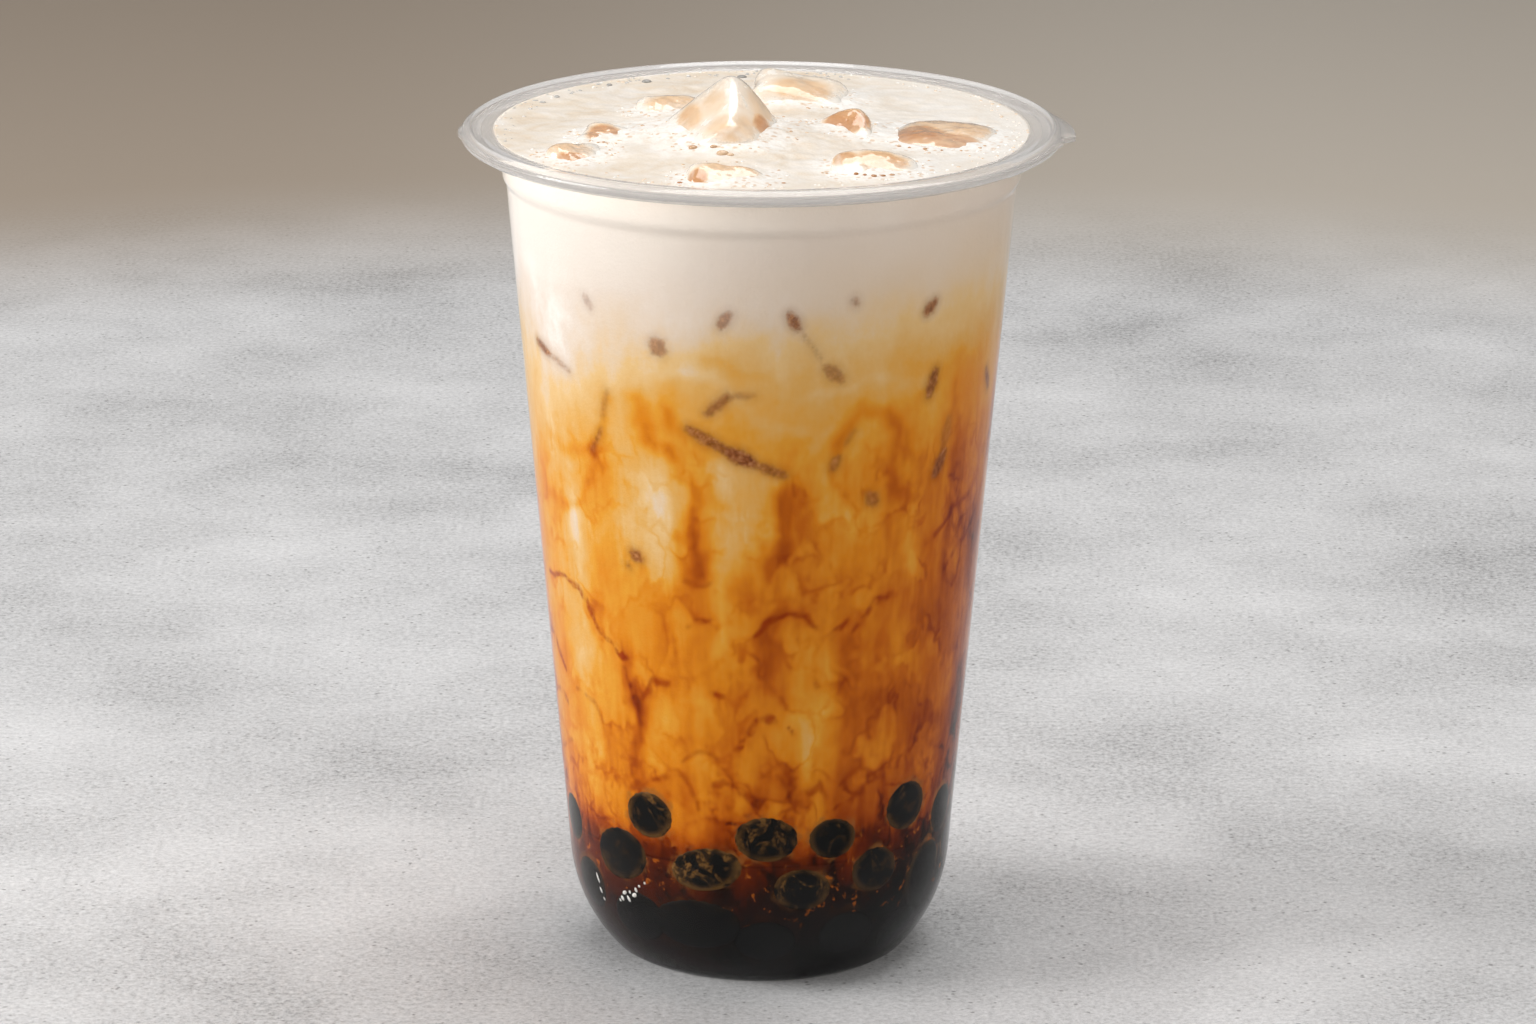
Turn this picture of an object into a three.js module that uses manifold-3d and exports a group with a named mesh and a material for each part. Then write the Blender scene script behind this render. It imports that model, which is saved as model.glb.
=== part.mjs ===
// Bubble tea: milk tea over tapioca pearls, with ice, filled to the brim of a clear plastic cup.
// Millimetres, +Z up. The origin is on the table, under the middle of the cup.
import * as THREE from "three";
import { mergeVertices } from "three/addons/utils/BufferGeometryUtils.js";
import Module from "manifold-3d";

// Cup
const CUP_HEIGHT = 135.6;
const RIM_RADIUS = 47.5;
const WALL = 0.9;
const BEAD_WIDTH = 1.9;
const BEAD_DEPTH = 2.5;
const BEAD_RISE = 0.35;
const BEAD_FULLNESS = 0.7;
const LIP_RADIUS = 43.95;
const BAND_RADIUS = 41.0;
const BAND_DEPTH = 9.3;
const BAND_RAMP = 1.8;
const SHOULDER_RADIUS = 40.35;
const HEEL_HEIGHT = 16.0;
const HEEL_RADIUS = 30.7;
const HEEL_ROUND = 25.2;
const FOOT_RADIUS = 23.2;
const FOOT_WIDTH = 1.8;
const FOOT_HEIGHT = 0.8;
const CUP_SIDES = 48;
const HEEL_STEPS = 5;
const LIP_STEPS = 4;
const BEAD_STEPS = 4;

// The pull tab left on the rim, and the small nib across from it
const TAB_START = THREE.MathUtils.degToRad(15);
const TAB_END = THREE.MathUtils.degToRad(-7);
const TAB_REACH = 2.1;
const TAB_THICKNESS = 0.9;
const TAB_STEPS = 8;
const NIB_ANGLE = THREE.MathUtils.degToRad(182);
const NIB_WIDTH = 5.5;
const NIB_REACH = 0.45;
const NIB_THICKNESS = 1.0;
const NIB_SIDES = 16;
const RIM_OVERLAP = 1.2;

// Contents
const GAP = 0.3;
const DRINK_LEVEL = CUP_HEIGHT - 0.82;
const DRINK_FLOOR = 27.6;
const SURFACE_RINGS = 8;
const SURFACE_CALM = 8;
const MOUND_POWER = 1.6;
const PEARL_RADIUS = 4.2;
const PEARL_SPREAD = 0.3;

// Pearls that show against the wall at the front: degrees from +X, height, radius
const PEARLS_IN_FRONT = [
  [-164, 23.4, 4.2], [-154, 14.0, 4.4], [-136, 21.5, 4.5], [-124, 29.5, 4.2], [-106, 21.5, 4.8],
  [-88, 27.1, 4.8], [-77, 18.2, 4.5], [-68, 26.6, 4.2], [-53, 20.0, 4.2], [-42, 29.6, 4.2],
  [-30, 16.4, 4.4], [-21, 25.9, 4.2], [-131, 11.5, 4.7], [-110, 12.0, 4.7], [-88, 9.6, 4.4],
  [-61, 10.0, 4.4], [-38, 8.4, 4.3],
];

// Rows of pearls round the sides and the back
const PEARL_ROWS = [
  { height: 27.2, start: 0, step: 20.5, count: 9, shake: 2.4 },
  { height: 18.4, start: -9, step: 20.5, count: 10, shake: 1.2 },
  { height: 9.4, start: -10, step: 24, count: 9, shake: 0.8 },
];
const PEARL_DRIFT = 2.5;
const PEARL_SEED = 4021;
const PEARL_SIDES = 1;
const HEAP_CORE_FLOOR = 4.5;
const HEAP_CORE_TOP = 27.0;
const HEAP_CORE_INSET = 4.0;
const HEAP_CORE_SIDES = 16;
const HEAP_CORE_STEPS = 4;

// Ice that breaks the surface. A piece is a rounded block: its middle, half sizes, tilt in degrees, and
// how square it is. The foam climbs it as a mound, rise mm high at its middle and spread mm wide.
const ICE = [
  {
    name: "ice_peak", at: [-5.6, -8.0, -4.5], half: [9.8, 8.0, 9.6], tilt: [20, 50.5, 0],
    square: 8, rise: 3.4, spread: 13.0,
  },
  {
    name: "ice_back", at: [5.6, 19.4, -2.1], half: [8.0, 5.8, 5.6], tilt: [12, 10, -6],
    square: 5, rise: 2.2, spread: 8.4,
  },
  {
    name: "ice_middle_right", at: [13.5, -3.6, -2.9], half: [5.2, 5.0, 5.0], tilt: [30, -20, 12],
    square: 5, rise: 1.2, spread: 6.6,
  },
  {
    name: "ice_right", at: [28.4, -7.0, -2.8], half: [8.6, 9.4, 4.1], tilt: [6, 2, -10],
    square: 3.4, rise: 0.5, spread: 9.6,
  },
  {
    name: "ice_front_right", at: [17.3, -27.8, -3.1], half: [6.8, 5.0, 4.6], tilt: [20, 8, 6],
    square: 5, rise: 0.9, spread: 7.2,
  },
  {
    name: "ice_left", at: [-23.9, -8.6, -2.3], half: [5.2, 5.2, 3.6], tilt: [14, 5, -14],
    square: 4.2, rise: 0.7, spread: 7.0,
  },
  {
    name: "ice_left_back", at: [-14.2, 10.0, -2.8], half: [6.0, 6.2, 4.4], tilt: [14, 0, 8],
    square: 4.2, rise: 0.8, spread: 6.5,
  },
  {
    name: "ice_left_front", at: [-28.4, -19.6, -3.0], half: [5.0, 4.6, 4.2], tilt: [12, 14, 30],
    square: 4.2, rise: 0.5, spread: 6.5,
  },
  {
    name: "ice_front", at: [-5.4, -34.5, -3.0], half: [6.6, 4.0, 4.4], tilt: [22, 8, -4],
    square: 4.2, rise: 0.9, spread: 6.5,
  },
];
const ICE_SIDES = 3;
const ICE_DENT = 0.045;

const CLEAR_PLASTIC = new THREE.MeshStandardMaterial({
  color: 0xe9ebea, roughness: 0.08, metalness: 0, transparent: true, opacity: 0.3,
});
const MILK_TEA = new THREE.MeshStandardMaterial({ color: 0xdcb98c, roughness: 0.35, metalness: 0 });
const TAPIOCA = new THREE.MeshStandardMaterial({ color: 0x23170f, roughness: 0.2, metalness: 0 });
const ICE_CLEAR = new THREE.MeshStandardMaterial({
  color: 0xe8d3b8, roughness: 0.08, metalness: 0, transparent: true, opacity: 0.7,
});

const wasm = await Module();
wasm.setup();

function solidOf(geometry) {
  const bare = geometry.clone();
  bare.deleteAttribute("normal");
  bare.deleteAttribute("uv");
  const merged = mergeVertices(bare, 1e-4);
  return new wasm.Manifold(new wasm.Mesh({
    numProp: 3,
    vertProperties: Float32Array.from(merged.attributes.position.array),
    triVerts: Uint32Array.from(merged.index.array),
  }));
}

function geometryOf(solid) {
  const mesh = solid.getMesh();
  const geometry = new THREE.BufferGeometry();
  geometry.setAttribute("position", new THREE.BufferAttribute(Float32Array.from(mesh.vertProperties), 3));
  geometry.setIndex(new THREE.BufferAttribute(Uint32Array.from(mesh.triVerts), 1));
  geometry.computeVertexNormals();
  return geometry;
}

function named(name, solid, material) {
  const mesh = new THREE.Mesh(geometryOf(solid), material);
  mesh.name = name;
  return mesh;
}

// Draws between 0 and 1, the same ones each time
function randomFrom(seed) {
  let state = seed;
  return () => {
    state = (state * 16807) % 2147483647;
    return state / 2147483647;
  };
}

function arc(centreR, centreZ, radius, from, to, steps) {
  const points = [];
  for (let i = 0; i <= steps; i += 1) {
    const angle = from + (to - from) * i / steps;
    points.push(new THREE.Vector2(centreR + radius * Math.cos(angle), centreZ + radius * Math.sin(angle)));
  }
  return points;
}

// Lathes a profile of radius and height about Z
function lathe(points, sides = CUP_SIDES) {
  const geometry = new THREE.LatheGeometry(points, sides);
  return geometry.rotateX(Math.PI / 2);
}

const SHOULDER_HEIGHT = CUP_HEIGHT - BAND_DEPTH;
const TAPER = Math.atan2(SHOULDER_RADIUS - HEEL_RADIUS, SHOULDER_HEIGHT - HEEL_HEIGHT);
const HEEL_CENTRE_R = HEEL_RADIUS - HEEL_ROUND * Math.cos(TAPER);
const HEEL_CENTRE_Z = HEEL_HEIGHT + HEEL_ROUND * Math.sin(TAPER);
const FLANGE_TOP = CUP_HEIGHT - BEAD_RISE;
const LIP_ROUND = LIP_RADIUS - BAND_RADIUS + WALL;
const LIP_CENTRE_Z = FLANGE_TOP - LIP_ROUND;

// Where the heel's round meets a flat floor at the given height
function heelFloorAngle(inset, floor) {
  return Math.asin((floor - HEEL_CENTRE_Z) / (HEEL_ROUND - inset));
}

// The wall from the floor up to the lip, at inset inside the cup's outer face
function wallProfile(inset, floor) {
  const floorAngle = heelFloorAngle(inset, floor);
  const heel = arc(HEEL_CENTRE_R, HEEL_CENTRE_Z, HEEL_ROUND - inset, floorAngle, -TAPER, HEEL_STEPS);
  const lipRound = LIP_ROUND - WALL + inset;
  const lip = arc(LIP_RADIUS, LIP_CENTRE_Z, lipRound, Math.PI, Math.PI / 2, LIP_STEPS);
  return [
    ...heel,
    new THREE.Vector2(SHOULDER_RADIUS - inset, SHOULDER_HEIGHT),
    new THREE.Vector2(BAND_RADIUS - inset, SHOULDER_HEIGHT + BAND_RAMP),
    ...lip,
  ];
}

function cupBody() {
  const footInner = FOOT_RADIUS - FOOT_WIDTH;
  const edge = RIM_RADIUS - BEAD_DEPTH / 2;
  const beadRound = BEAD_DEPTH / 2 * BEAD_FULLNESS;
  const beadHeight = CUP_HEIGHT - BEAD_DEPTH / 2;
  const points = [
    new THREE.Vector2(0, FOOT_HEIGHT),
    new THREE.Vector2(footInner - FOOT_HEIGHT, FOOT_HEIGHT),
    new THREE.Vector2(footInner, 0),
    new THREE.Vector2(FOOT_RADIUS - FOOT_HEIGHT / 2, 0),
    ...wallProfile(0, FOOT_HEIGHT),
    new THREE.Vector2(RIM_RADIUS - BEAD_WIDTH, FLANGE_TOP - WALL),
    new THREE.Vector2(edge, CUP_HEIGHT - BEAD_DEPTH),
    ...arc(RIM_RADIUS - beadRound, beadHeight, beadRound, -Math.PI / 3, Math.PI / 3, BEAD_STEPS),
    new THREE.Vector2(edge, CUP_HEIGHT),
    new THREE.Vector2(RIM_RADIUS - BEAD_WIDTH + BEAD_RISE, CUP_HEIGHT),
    new THREE.Vector2(RIM_RADIUS - BEAD_WIDTH, FLANGE_TOP),
    ...wallProfile(WALL, FOOT_HEIGHT + WALL).reverse(),
    new THREE.Vector2(0, FOOT_HEIGHT + WALL),
  ];
  return solidOf(lathe(points));
}

// A crescent that grows along the rim and ends in an abrupt edge
function rimTab() {
  const outline = new THREE.Shape();
  const inner = RIM_RADIUS - RIM_OVERLAP;
  for (let i = 0; i <= TAB_STEPS; i += 1) {
    const share = i / TAB_STEPS;
    const angle = TAB_START + (TAB_END - TAB_START) * share;
    const reach = (TAB_REACH + RIM_OVERLAP / 2) * Math.sin(share * Math.PI / 2);
    const radius = RIM_RADIUS - RIM_OVERLAP / 2 + reach;
    const place = [radius * Math.cos(angle), radius * Math.sin(angle)];
    if (i === 0) {
      outline.moveTo(...place);
    } else {
      outline.lineTo(...place);
    }
  }
  for (let i = TAB_STEPS; i >= 0; i -= 1) {
    const angle = TAB_START + (TAB_END - TAB_START) * i / TAB_STEPS;
    outline.lineTo(inner * Math.cos(angle), inner * Math.sin(angle));
  }
  const geometry = new THREE.ExtrudeGeometry(outline, { depth: TAB_THICKNESS, bevelEnabled: false });
  return solidOf(geometry.translate(0, 0, CUP_HEIGHT - (BEAD_DEPTH + TAB_THICKNESS) / 2));
}

function rimNib() {
  const depth = RIM_OVERLAP + NIB_REACH;
  const geometry = new THREE.CylinderGeometry(NIB_WIDTH / 2, NIB_WIDTH / 2, NIB_THICKNESS, NIB_SIDES);
  geometry.rotateX(Math.PI / 2);
  geometry.scale(depth / (NIB_WIDTH / 2), 1, 1);
  geometry.translate(RIM_RADIUS - RIM_OVERLAP, 0, CUP_HEIGHT - BEAD_DEPTH / 2);
  return solidOf(geometry.rotateZ(NIB_ANGLE));
}

// Height of the foam above the level: a mound climbs each piece of ice
function foamHeight(x, y) {
  let height = 0;
  for (const piece of ICE) {
    const away = Math.hypot(x - piece.at[0], y - piece.at[1]) / piece.spread;
    height += piece.rise * Math.exp(-(away ** MOUND_POWER));
  }
  return height;
}

function drinkBody() {
  const inset = WALL + GAP;
  const wall = wallProfile(inset, FOOT_HEIGHT + inset);
  const side = wall.filter((p) => p.y > DRINK_FLOOR && p.y < DRINK_LEVEL);
  const lipRound = LIP_ROUND + GAP;
  const drop = DRINK_LEVEL - LIP_CENTRE_Z;
  const edge = LIP_RADIUS - Math.sqrt(lipRound ** 2 - drop ** 2);
  const floorRadius = SHOULDER_RADIUS - inset - (SHOULDER_HEIGHT - DRINK_FLOOR) * Math.tan(TAPER);
  const points = [
    new THREE.Vector2(0, DRINK_FLOOR),
    new THREE.Vector2(floorRadius, DRINK_FLOOR),
    ...side,
    new THREE.Vector2(edge, DRINK_LEVEL),
  ];
  for (let i = SURFACE_RINGS - 1; i >= 0; i -= 1) {
    points.push(new THREE.Vector2(edge * i / SURFACE_RINGS, DRINK_LEVEL));
  }
  const geometry = lathe(points);
  const position = geometry.attributes.position;
  for (let i = 0; i < position.count; i += 1) {
    const x = position.getX(i);
    const y = position.getY(i);
    const away = Math.hypot(x, y) / edge;
    if (position.getZ(i) > DRINK_LEVEL - 1e-3 && away < 1 - 1e-4) {
      position.setZ(i, DRINK_LEVEL + foamHeight(x, y) * (1 - away ** SURFACE_CALM));
    }
  }
  return solidOf(geometry);
}

// A rounded block with shallow dents, grow mm larger all round
function iceBlock(piece, order, grow) {
  const geometry = new THREE.BoxGeometry(2, 2, 2, ICE_SIDES, ICE_SIDES, ICE_SIDES);
  const position = geometry.attributes.position;
  const way = new THREE.Vector3();
  for (let i = 0; i < position.count; i += 1) {
    way.fromBufferAttribute(position, i).normalize();
    let share = 0;
    for (const [k, along] of way.toArray().entries()) {
      share += Math.abs(along / (piece.half[k] + grow)) ** piece.square;
    }
    const dent = ICE_DENT * Math.sin(3 * way.x + 2 * order) * Math.cos(4 * way.y - order + 2 * way.z);
    way.multiplyScalar(share ** (-1 / piece.square) * (1 + dent));
    position.setXYZ(i, way.x, way.y, way.z);
  }
  const tilt = piece.tilt.map((angle) => THREE.MathUtils.degToRad(angle));
  geometry.applyMatrix4(new THREE.Matrix4().makeRotationFromEuler(new THREE.Euler(...tilt)));
  geometry.translate(piece.at[0], piece.at[1], DRINK_LEVEL + piece.at[2]);
  return solidOf(geometry);
}

// How far from the axis a point is that keeps an inset from the cup's outer face, in its lower part
function insetRadius(height, inset) {
  const round = HEEL_ROUND - inset;
  if (height > HEEL_CENTRE_Z - round * Math.sin(TAPER)) {
    return HEEL_RADIUS + (height - HEEL_HEIGHT) * Math.tan(TAPER) - inset / Math.cos(TAPER);
  }
  return HEEL_CENTRE_R + Math.sqrt(round ** 2 - (height - HEEL_CENTRE_Z) ** 2);
}

// Each pearl's angle in degrees, height and radius
function pearlPlaces(draw) {
  const places = [...PEARLS_IN_FRONT];
  for (const row of PEARL_ROWS) {
    for (let i = 0; i < row.count; i += 1) {
      const angle = row.start + row.step * i + PEARL_DRIFT * (2 * draw() - 1);
      const height = row.height + row.shake * (2 * draw() - 1);
      places.push([angle, height, PEARL_RADIUS + PEARL_SPREAD * (2 * draw() - 1)]);
    }
  }
  return places;
}

// The heap of pearls: a core with the pearls that lie against the wall, grow mm larger all round
function pearlHeap(grow) {
  const draw = randomFrom(PEARL_SEED);
  const floor = FOOT_HEIGHT + WALL + GAP;
  const core = [new THREE.Vector2(0, floor - grow)];
  for (let i = 0; i <= HEAP_CORE_STEPS; i += 1) {
    const height = HEAP_CORE_FLOOR + (HEAP_CORE_TOP - HEAP_CORE_FLOOR) * i / HEAP_CORE_STEPS;
    core.push(new THREE.Vector2(insetRadius(height, WALL + HEAP_CORE_INSET) + grow, height));
  }
  core[core.length - 1].y += grow;
  core.push(new THREE.Vector2(0, HEAP_CORE_TOP + grow));
  let heap = solidOf(lathe(core, HEAP_CORE_SIDES));
  for (const [angle, height, radius] of pearlPlaces(draw)) {
    const centre = Math.max(floor + radius, height);
    const away = insetRadius(centre, WALL + GAP + radius);
    const turn = THREE.MathUtils.degToRad(angle);
    const pearl = new THREE.IcosahedronGeometry(radius + grow, PEARL_SIDES);
    pearl.rotateX(draw() * Math.PI);
    pearl.translate(away * Math.cos(turn), away * Math.sin(turn), centre);
    heap = heap.add(solidOf(pearl));
  }
  return heap;
}

// The largest piece of a solid that cuts have split
function largest(solid) {
  return solid.decompose().sort((a, b) => b.volume() - a.volume())[0];
}

const bubbleTea = new THREE.Group();
bubbleTea.name = "bubble_tea";

bubbleTea.add(named("cup", cupBody().add(rimTab()).add(rimNib()), CLEAR_PLASTIC));

let drink = drinkBody().subtract(pearlHeap(GAP));
for (const [order, piece] of ICE.entries()) {
  drink = drink.subtract(iceBlock(piece, order, GAP));
}
bubbleTea.add(named("drink", largest(drink), MILK_TEA));
bubbleTea.add(named("pearls", pearlHeap(0), TAPIOCA));
for (const [order, piece] of ICE.entries()) {
  bubbleTea.add(named(piece.name, iceBlock(piece, order, 0), ICE_CLEAR));
}

export default bubbleTea;
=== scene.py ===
# Bubble tea in a clear plastic cup: caramel milk tea over tapioca pearls, with ice under foam.
# Shapes are worked out in millimetres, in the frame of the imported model, and turned into metres at the end.
import math
import random
from collections import namedtuple
from itertools import chain

import bmesh
import bpy
import numpy as np
from mathutils import Euler, Matrix, Vector, noise


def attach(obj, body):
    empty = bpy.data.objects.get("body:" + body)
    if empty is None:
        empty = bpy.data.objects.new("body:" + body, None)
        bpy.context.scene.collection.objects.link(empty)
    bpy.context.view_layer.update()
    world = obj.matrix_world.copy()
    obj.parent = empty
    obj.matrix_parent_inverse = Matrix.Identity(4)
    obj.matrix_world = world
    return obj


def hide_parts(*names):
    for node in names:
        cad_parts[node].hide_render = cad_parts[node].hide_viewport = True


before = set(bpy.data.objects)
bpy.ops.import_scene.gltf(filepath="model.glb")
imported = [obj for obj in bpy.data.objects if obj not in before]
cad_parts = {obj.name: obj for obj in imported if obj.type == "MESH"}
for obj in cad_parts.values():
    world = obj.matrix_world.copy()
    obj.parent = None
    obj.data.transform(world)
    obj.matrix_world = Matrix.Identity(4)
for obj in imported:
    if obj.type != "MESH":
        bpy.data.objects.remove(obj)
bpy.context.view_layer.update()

MM = 0.001

# The vector noise takes its offsets from the clock unless it is seeded
NOISE_SEED = 11
noise.seed_set(NOISE_SEED)

# Cup
CUP_HEIGHT = 135.6
RIM_RADIUS = 47.5
WALL = 0.9
BEAD_WIDTH = 1.9
BEAD_DEPTH = 2.5
BEAD_RISE = 0.35
LIP_RADIUS = 43.95
BAND_RADIUS = 41.0
BAND_DEPTH = 9.3
BAND_RAMP = 1.8
SHOULDER_RADIUS = 40.35
HEEL_HEIGHT = 16.0
HEEL_RADIUS = 30.7
HEEL_ROUND = 25.2
FOOT_RADIUS = 23.2
FOOT_WIDTH = 1.8
FOOT_HEIGHT = 0.8
CUP_SIDES = 192
BAND_STEPS = 8
HEEL_STEPS = 24
LIP_STEPS = 12
INNER_LIP_STEPS = 14
FOOT_STEPS = 6
FOOT_END = 1.62 * math.pi
BEAD_STEPS = 10
BEAD_END = math.pi / 2.4
BEAD_SHARE = 0.7
SYRUP_HEEL_STEPS = 44

SHOULDER_HEIGHT = CUP_HEIGHT - BAND_DEPTH
TAPER = math.atan2(SHOULDER_RADIUS - HEEL_RADIUS, SHOULDER_HEIGHT - HEEL_HEIGHT)
HEEL_CENTRE_R = HEEL_RADIUS - HEEL_ROUND * math.cos(TAPER)
HEEL_CENTRE_Z = HEEL_HEIGHT + HEEL_ROUND * math.sin(TAPER)
FLANGE_TOP = CUP_HEIGHT - BEAD_RISE
LIP_ROUND = LIP_RADIUS - BAND_RADIUS + WALL
LIP_CENTRE_Z = FLANGE_TOP - LIP_ROUND

# Pull tab and nib on the rim: where they start and end in degrees from +X, and how far they reach
TAB_START = 15.0
TAB_END = -7.0
TAB_REACH = 2.1
TAB_STEP = 0.12
TAB_ROWS = range(3, 8)
NUB_ANGLE = -9.6
NUB_WIDTH = 0.7
NUB_REACH = 0.5
NIB_ANGLE = 182.0
NIB_WIDTH = 3.3
NIB_REACH = 0.45

# Contents: insets are measured from the cup's outer face, and relief is a height and a breadth
GAP = 0.3
DRINK_LEVEL = CUP_HEIGHT - 0.82
DRINK_BOTTOM = 22.0
SYRUP_TOP = 27.0
DRINK_SIDES = 360
DRINK_INSET = 0.75
SYRUP_INSET = 0.80
SYRUP_SINK = 0.1
PEARL_INSET = 0.68
ROW_STEP = 0.6
RING_STEP = 0.55
FOAM_EDGE = 0.5
FOAM_PAST_WALL = 0.3
RELIEF_START = 10
BROAD_RELIEF = (0.26, 9.0)
FINE_RELIEF = (0.10, 2.2)
FROTH_REACH = 2.2
FROTH_WITH_RISE = 4

PEARL_RADIUS = 4.2
PEARL_SPREAD = 0.3
PEARL_PRESS = 0.5
PEARL_DISC = math.sqrt(1 - PEARL_PRESS ** 2)
HEAP_PROFILE = [(0, 3.0), (12.0, 3.2), (17.0, 5.0), (21.0, 9.5), (23.0, 16.0), (23.8, 26.5), (0, 26.6)]

# Pearls that show against the wall at the front: degrees from +X, height, radius, half width, half height,
# lean in degrees, and how much gold haze is on them
PEARLS_IN_FRONT = [
    (-164, 23.4, 4.2, 4.2, 4.4, 0, 0), (-154, 14, 4.4, 4.9, 4.6, 10, 0),
    (-136, 21.5, 4.5, 5.9, 5, 16, 0.15), (-124, 29.5, 4.2, 4.7, 4.5, 10, 0.8),
    (-106, 21.5, 4.8, 6.3, 4.2, 12, 1), (-88, 27.1, 4.8, 5.5, 4.4, -4, 0.7),
    (-77, 18.2, 4.5, 5, 4, -8, 0.95), (-68, 26.6, 4.2, 4.4, 3.9, -12, 0.4),
    (-53, 20, 4.2, 4.7, 4.3, -14, 0.15), (-42, 29.6, 4.2, 4.8, 4.7, -20, 0.2),
    (-30, 16.4, 4.4, 5, 6.2, -30, 0), (-21, 25.9, 4.2, 4.2, 4.6, 0, 0),
    (-131, 11.5, 4.7, 5.6, 4.8, 20, 0), (-110, 12, 4.7, 7.6, 4.9, 4, 0.1),
    (-88, 9.6, 4.4, 5.2, 4.2, 0, 0.5), (-61, 10, 4.4, 5.2, 4.4, -10, 0), (-38, 8.4, 4.3, 4.6, 4.4, 0, 0),
]
PEARL_ROWS = [
    dict(height=27.2, start=0, step=20.5, count=9, shake=2.4),
    dict(height=18.4, start=-9, step=20.5, count=10, shake=1.2),
    dict(height=9.4, start=-10, step=24, count=9, shake=0.8),
]
PEARL_DRIFT = 2.5
PEARL_LEAN = 40
PEARL_WIDER = 1.12
PEARL_LOWER = 0.98
PEARL_GOLD = (0, 0.6, 0.2, 0.8, 0.4)
PEARL_SEED = 4021
CORE_SIDES = 48

# Ice that breaks the surface: node, middle above the level, half sizes, tilt in degrees, how square it is,
# and rise and spread of the foam that climbs it
Ice = namedtuple("Ice", "node at half tilt square rise spread")
ICE = [
    Ice("ice_peak", (-5.6, -8.0, -4.5), (9.8, 8.0, 9.6), (20, 50.5, 0), 8.0, 3.4, 13.0),
    Ice("ice_back", (5.6, 19.4, -2.1), (8.0, 5.8, 5.6), (12, 10, -6), 5.0, 2.2, 8.4),
    Ice("ice_middle_right", (13.5, -3.6, -2.9), (5.2, 5.0, 5.0), (30, -20, 12), 5.0, 1.2, 6.6),
    Ice("ice_right", (28.4, -7.0, -2.8), (8.6, 9.4, 4.1), (6, 2, -10), 3.4, 0.5, 9.6),
    Ice("ice_front_right", (17.3, -27.8, -3.1), (6.8, 5.0, 4.6), (20, 8, 6), 5.0, 0.9, 7.2),
    Ice("ice_left", (-23.9, -8.6, -2.3), (5.2, 5.2, 3.6), (14, 5, -14), 4.2, 0.7, 7.0),
    Ice("ice_left_back", (-14.2, 10.0, -2.8), (6.0, 6.2, 4.4), (14, 0, 8), 4.2, 0.8, 6.5),
    Ice("ice_left_front", (-28.4, -19.6, -3.0), (5.0, 4.6, 4.2), (12, 14, 30), 4.2, 0.5, 6.5),
    Ice("ice_front", (-5.4, -34.5, -3.0), (6.6, 4.0, 4.4), (22, 8, -4), 4.2, 0.9, 6.5),
]
MOUND_POWER = 1.6
ICE_SIDES = 26
ICE_DENT = 0.045
ICE_ROUGH = 0.16
ICE_LUMPS = 3.2
# How near a block's edges the painted highlight along its ridges starts, and over what share it comes in
RIDGE_START = 0.80
RIDGE_WIDTH = 0.12
WINDOW_REACH = 1.2
WINDOW_FADE = 0.4

# Clear places in the foam's film over the ice: middle above the level, reach, and how brown it is
WINDOWS = [
    ((-24.6, -9.6, 1.4), (3, 3.6, 2), 1), ((-22, -12, 0.9), (3.4, 1.8, 2), 1),
    ((-13.6, 9, 1.8), (5, 4.6, 2.2), 0.6), ((-29.6, -20.4, 1.4), (3.8, 3.6, 2), 0.5),
    ((-29.4, -23.4, 0.8), (4.2, 1.6, 2), 0.95), ((-9.6, -37, 0.8), (1.7, 1.8, 2), 1.1),
    ((-4.6, -35.6, 1.4), (5.4, 3.2, 2), 0.6), ((7, 15.2, 3.2), (5.6, 5, 2.2), 0.55),
    ((13, -5.2, 2.4), (4.4, 4, 2.4), 1), ((24.6, -8.8, 1.2), (4.6, 5.6, 2), 0.92),
    ((30, -11.5, 1), (5, 3.8, 2), 0.9), ((33, -5.6, 1.5), (3.6, 4, 2), 0.5),
    ((28.2, -2.4, 1.6), (5.2, 4, 2), 0.55), ((18.6, -28.6, 1.6), (4.6, 3, 2), 0.72),
    ((19.8, -31.2, 0.8), (3.8, 1.4, 2), 1), ((12.8, -28.6, 2), (2.2, 1.9, 2), 0.9),
    ((1.4, -11.6, 3.4), (3.2, 3, 2), 1), ((-3.6, -16.5, 3.8), (4.8, 3.6, 2.4), 0.45),
    ((0, -7, 5.4), (3.6, 4.6, 3), 0.4), ((-11.4, -9, 3.6), (2.6, 4.2, 2.4), 0.7),
    ((-7.6, -10.4, 6.2), (2.4, 3.4, 2.4), 0.35),
]
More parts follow.
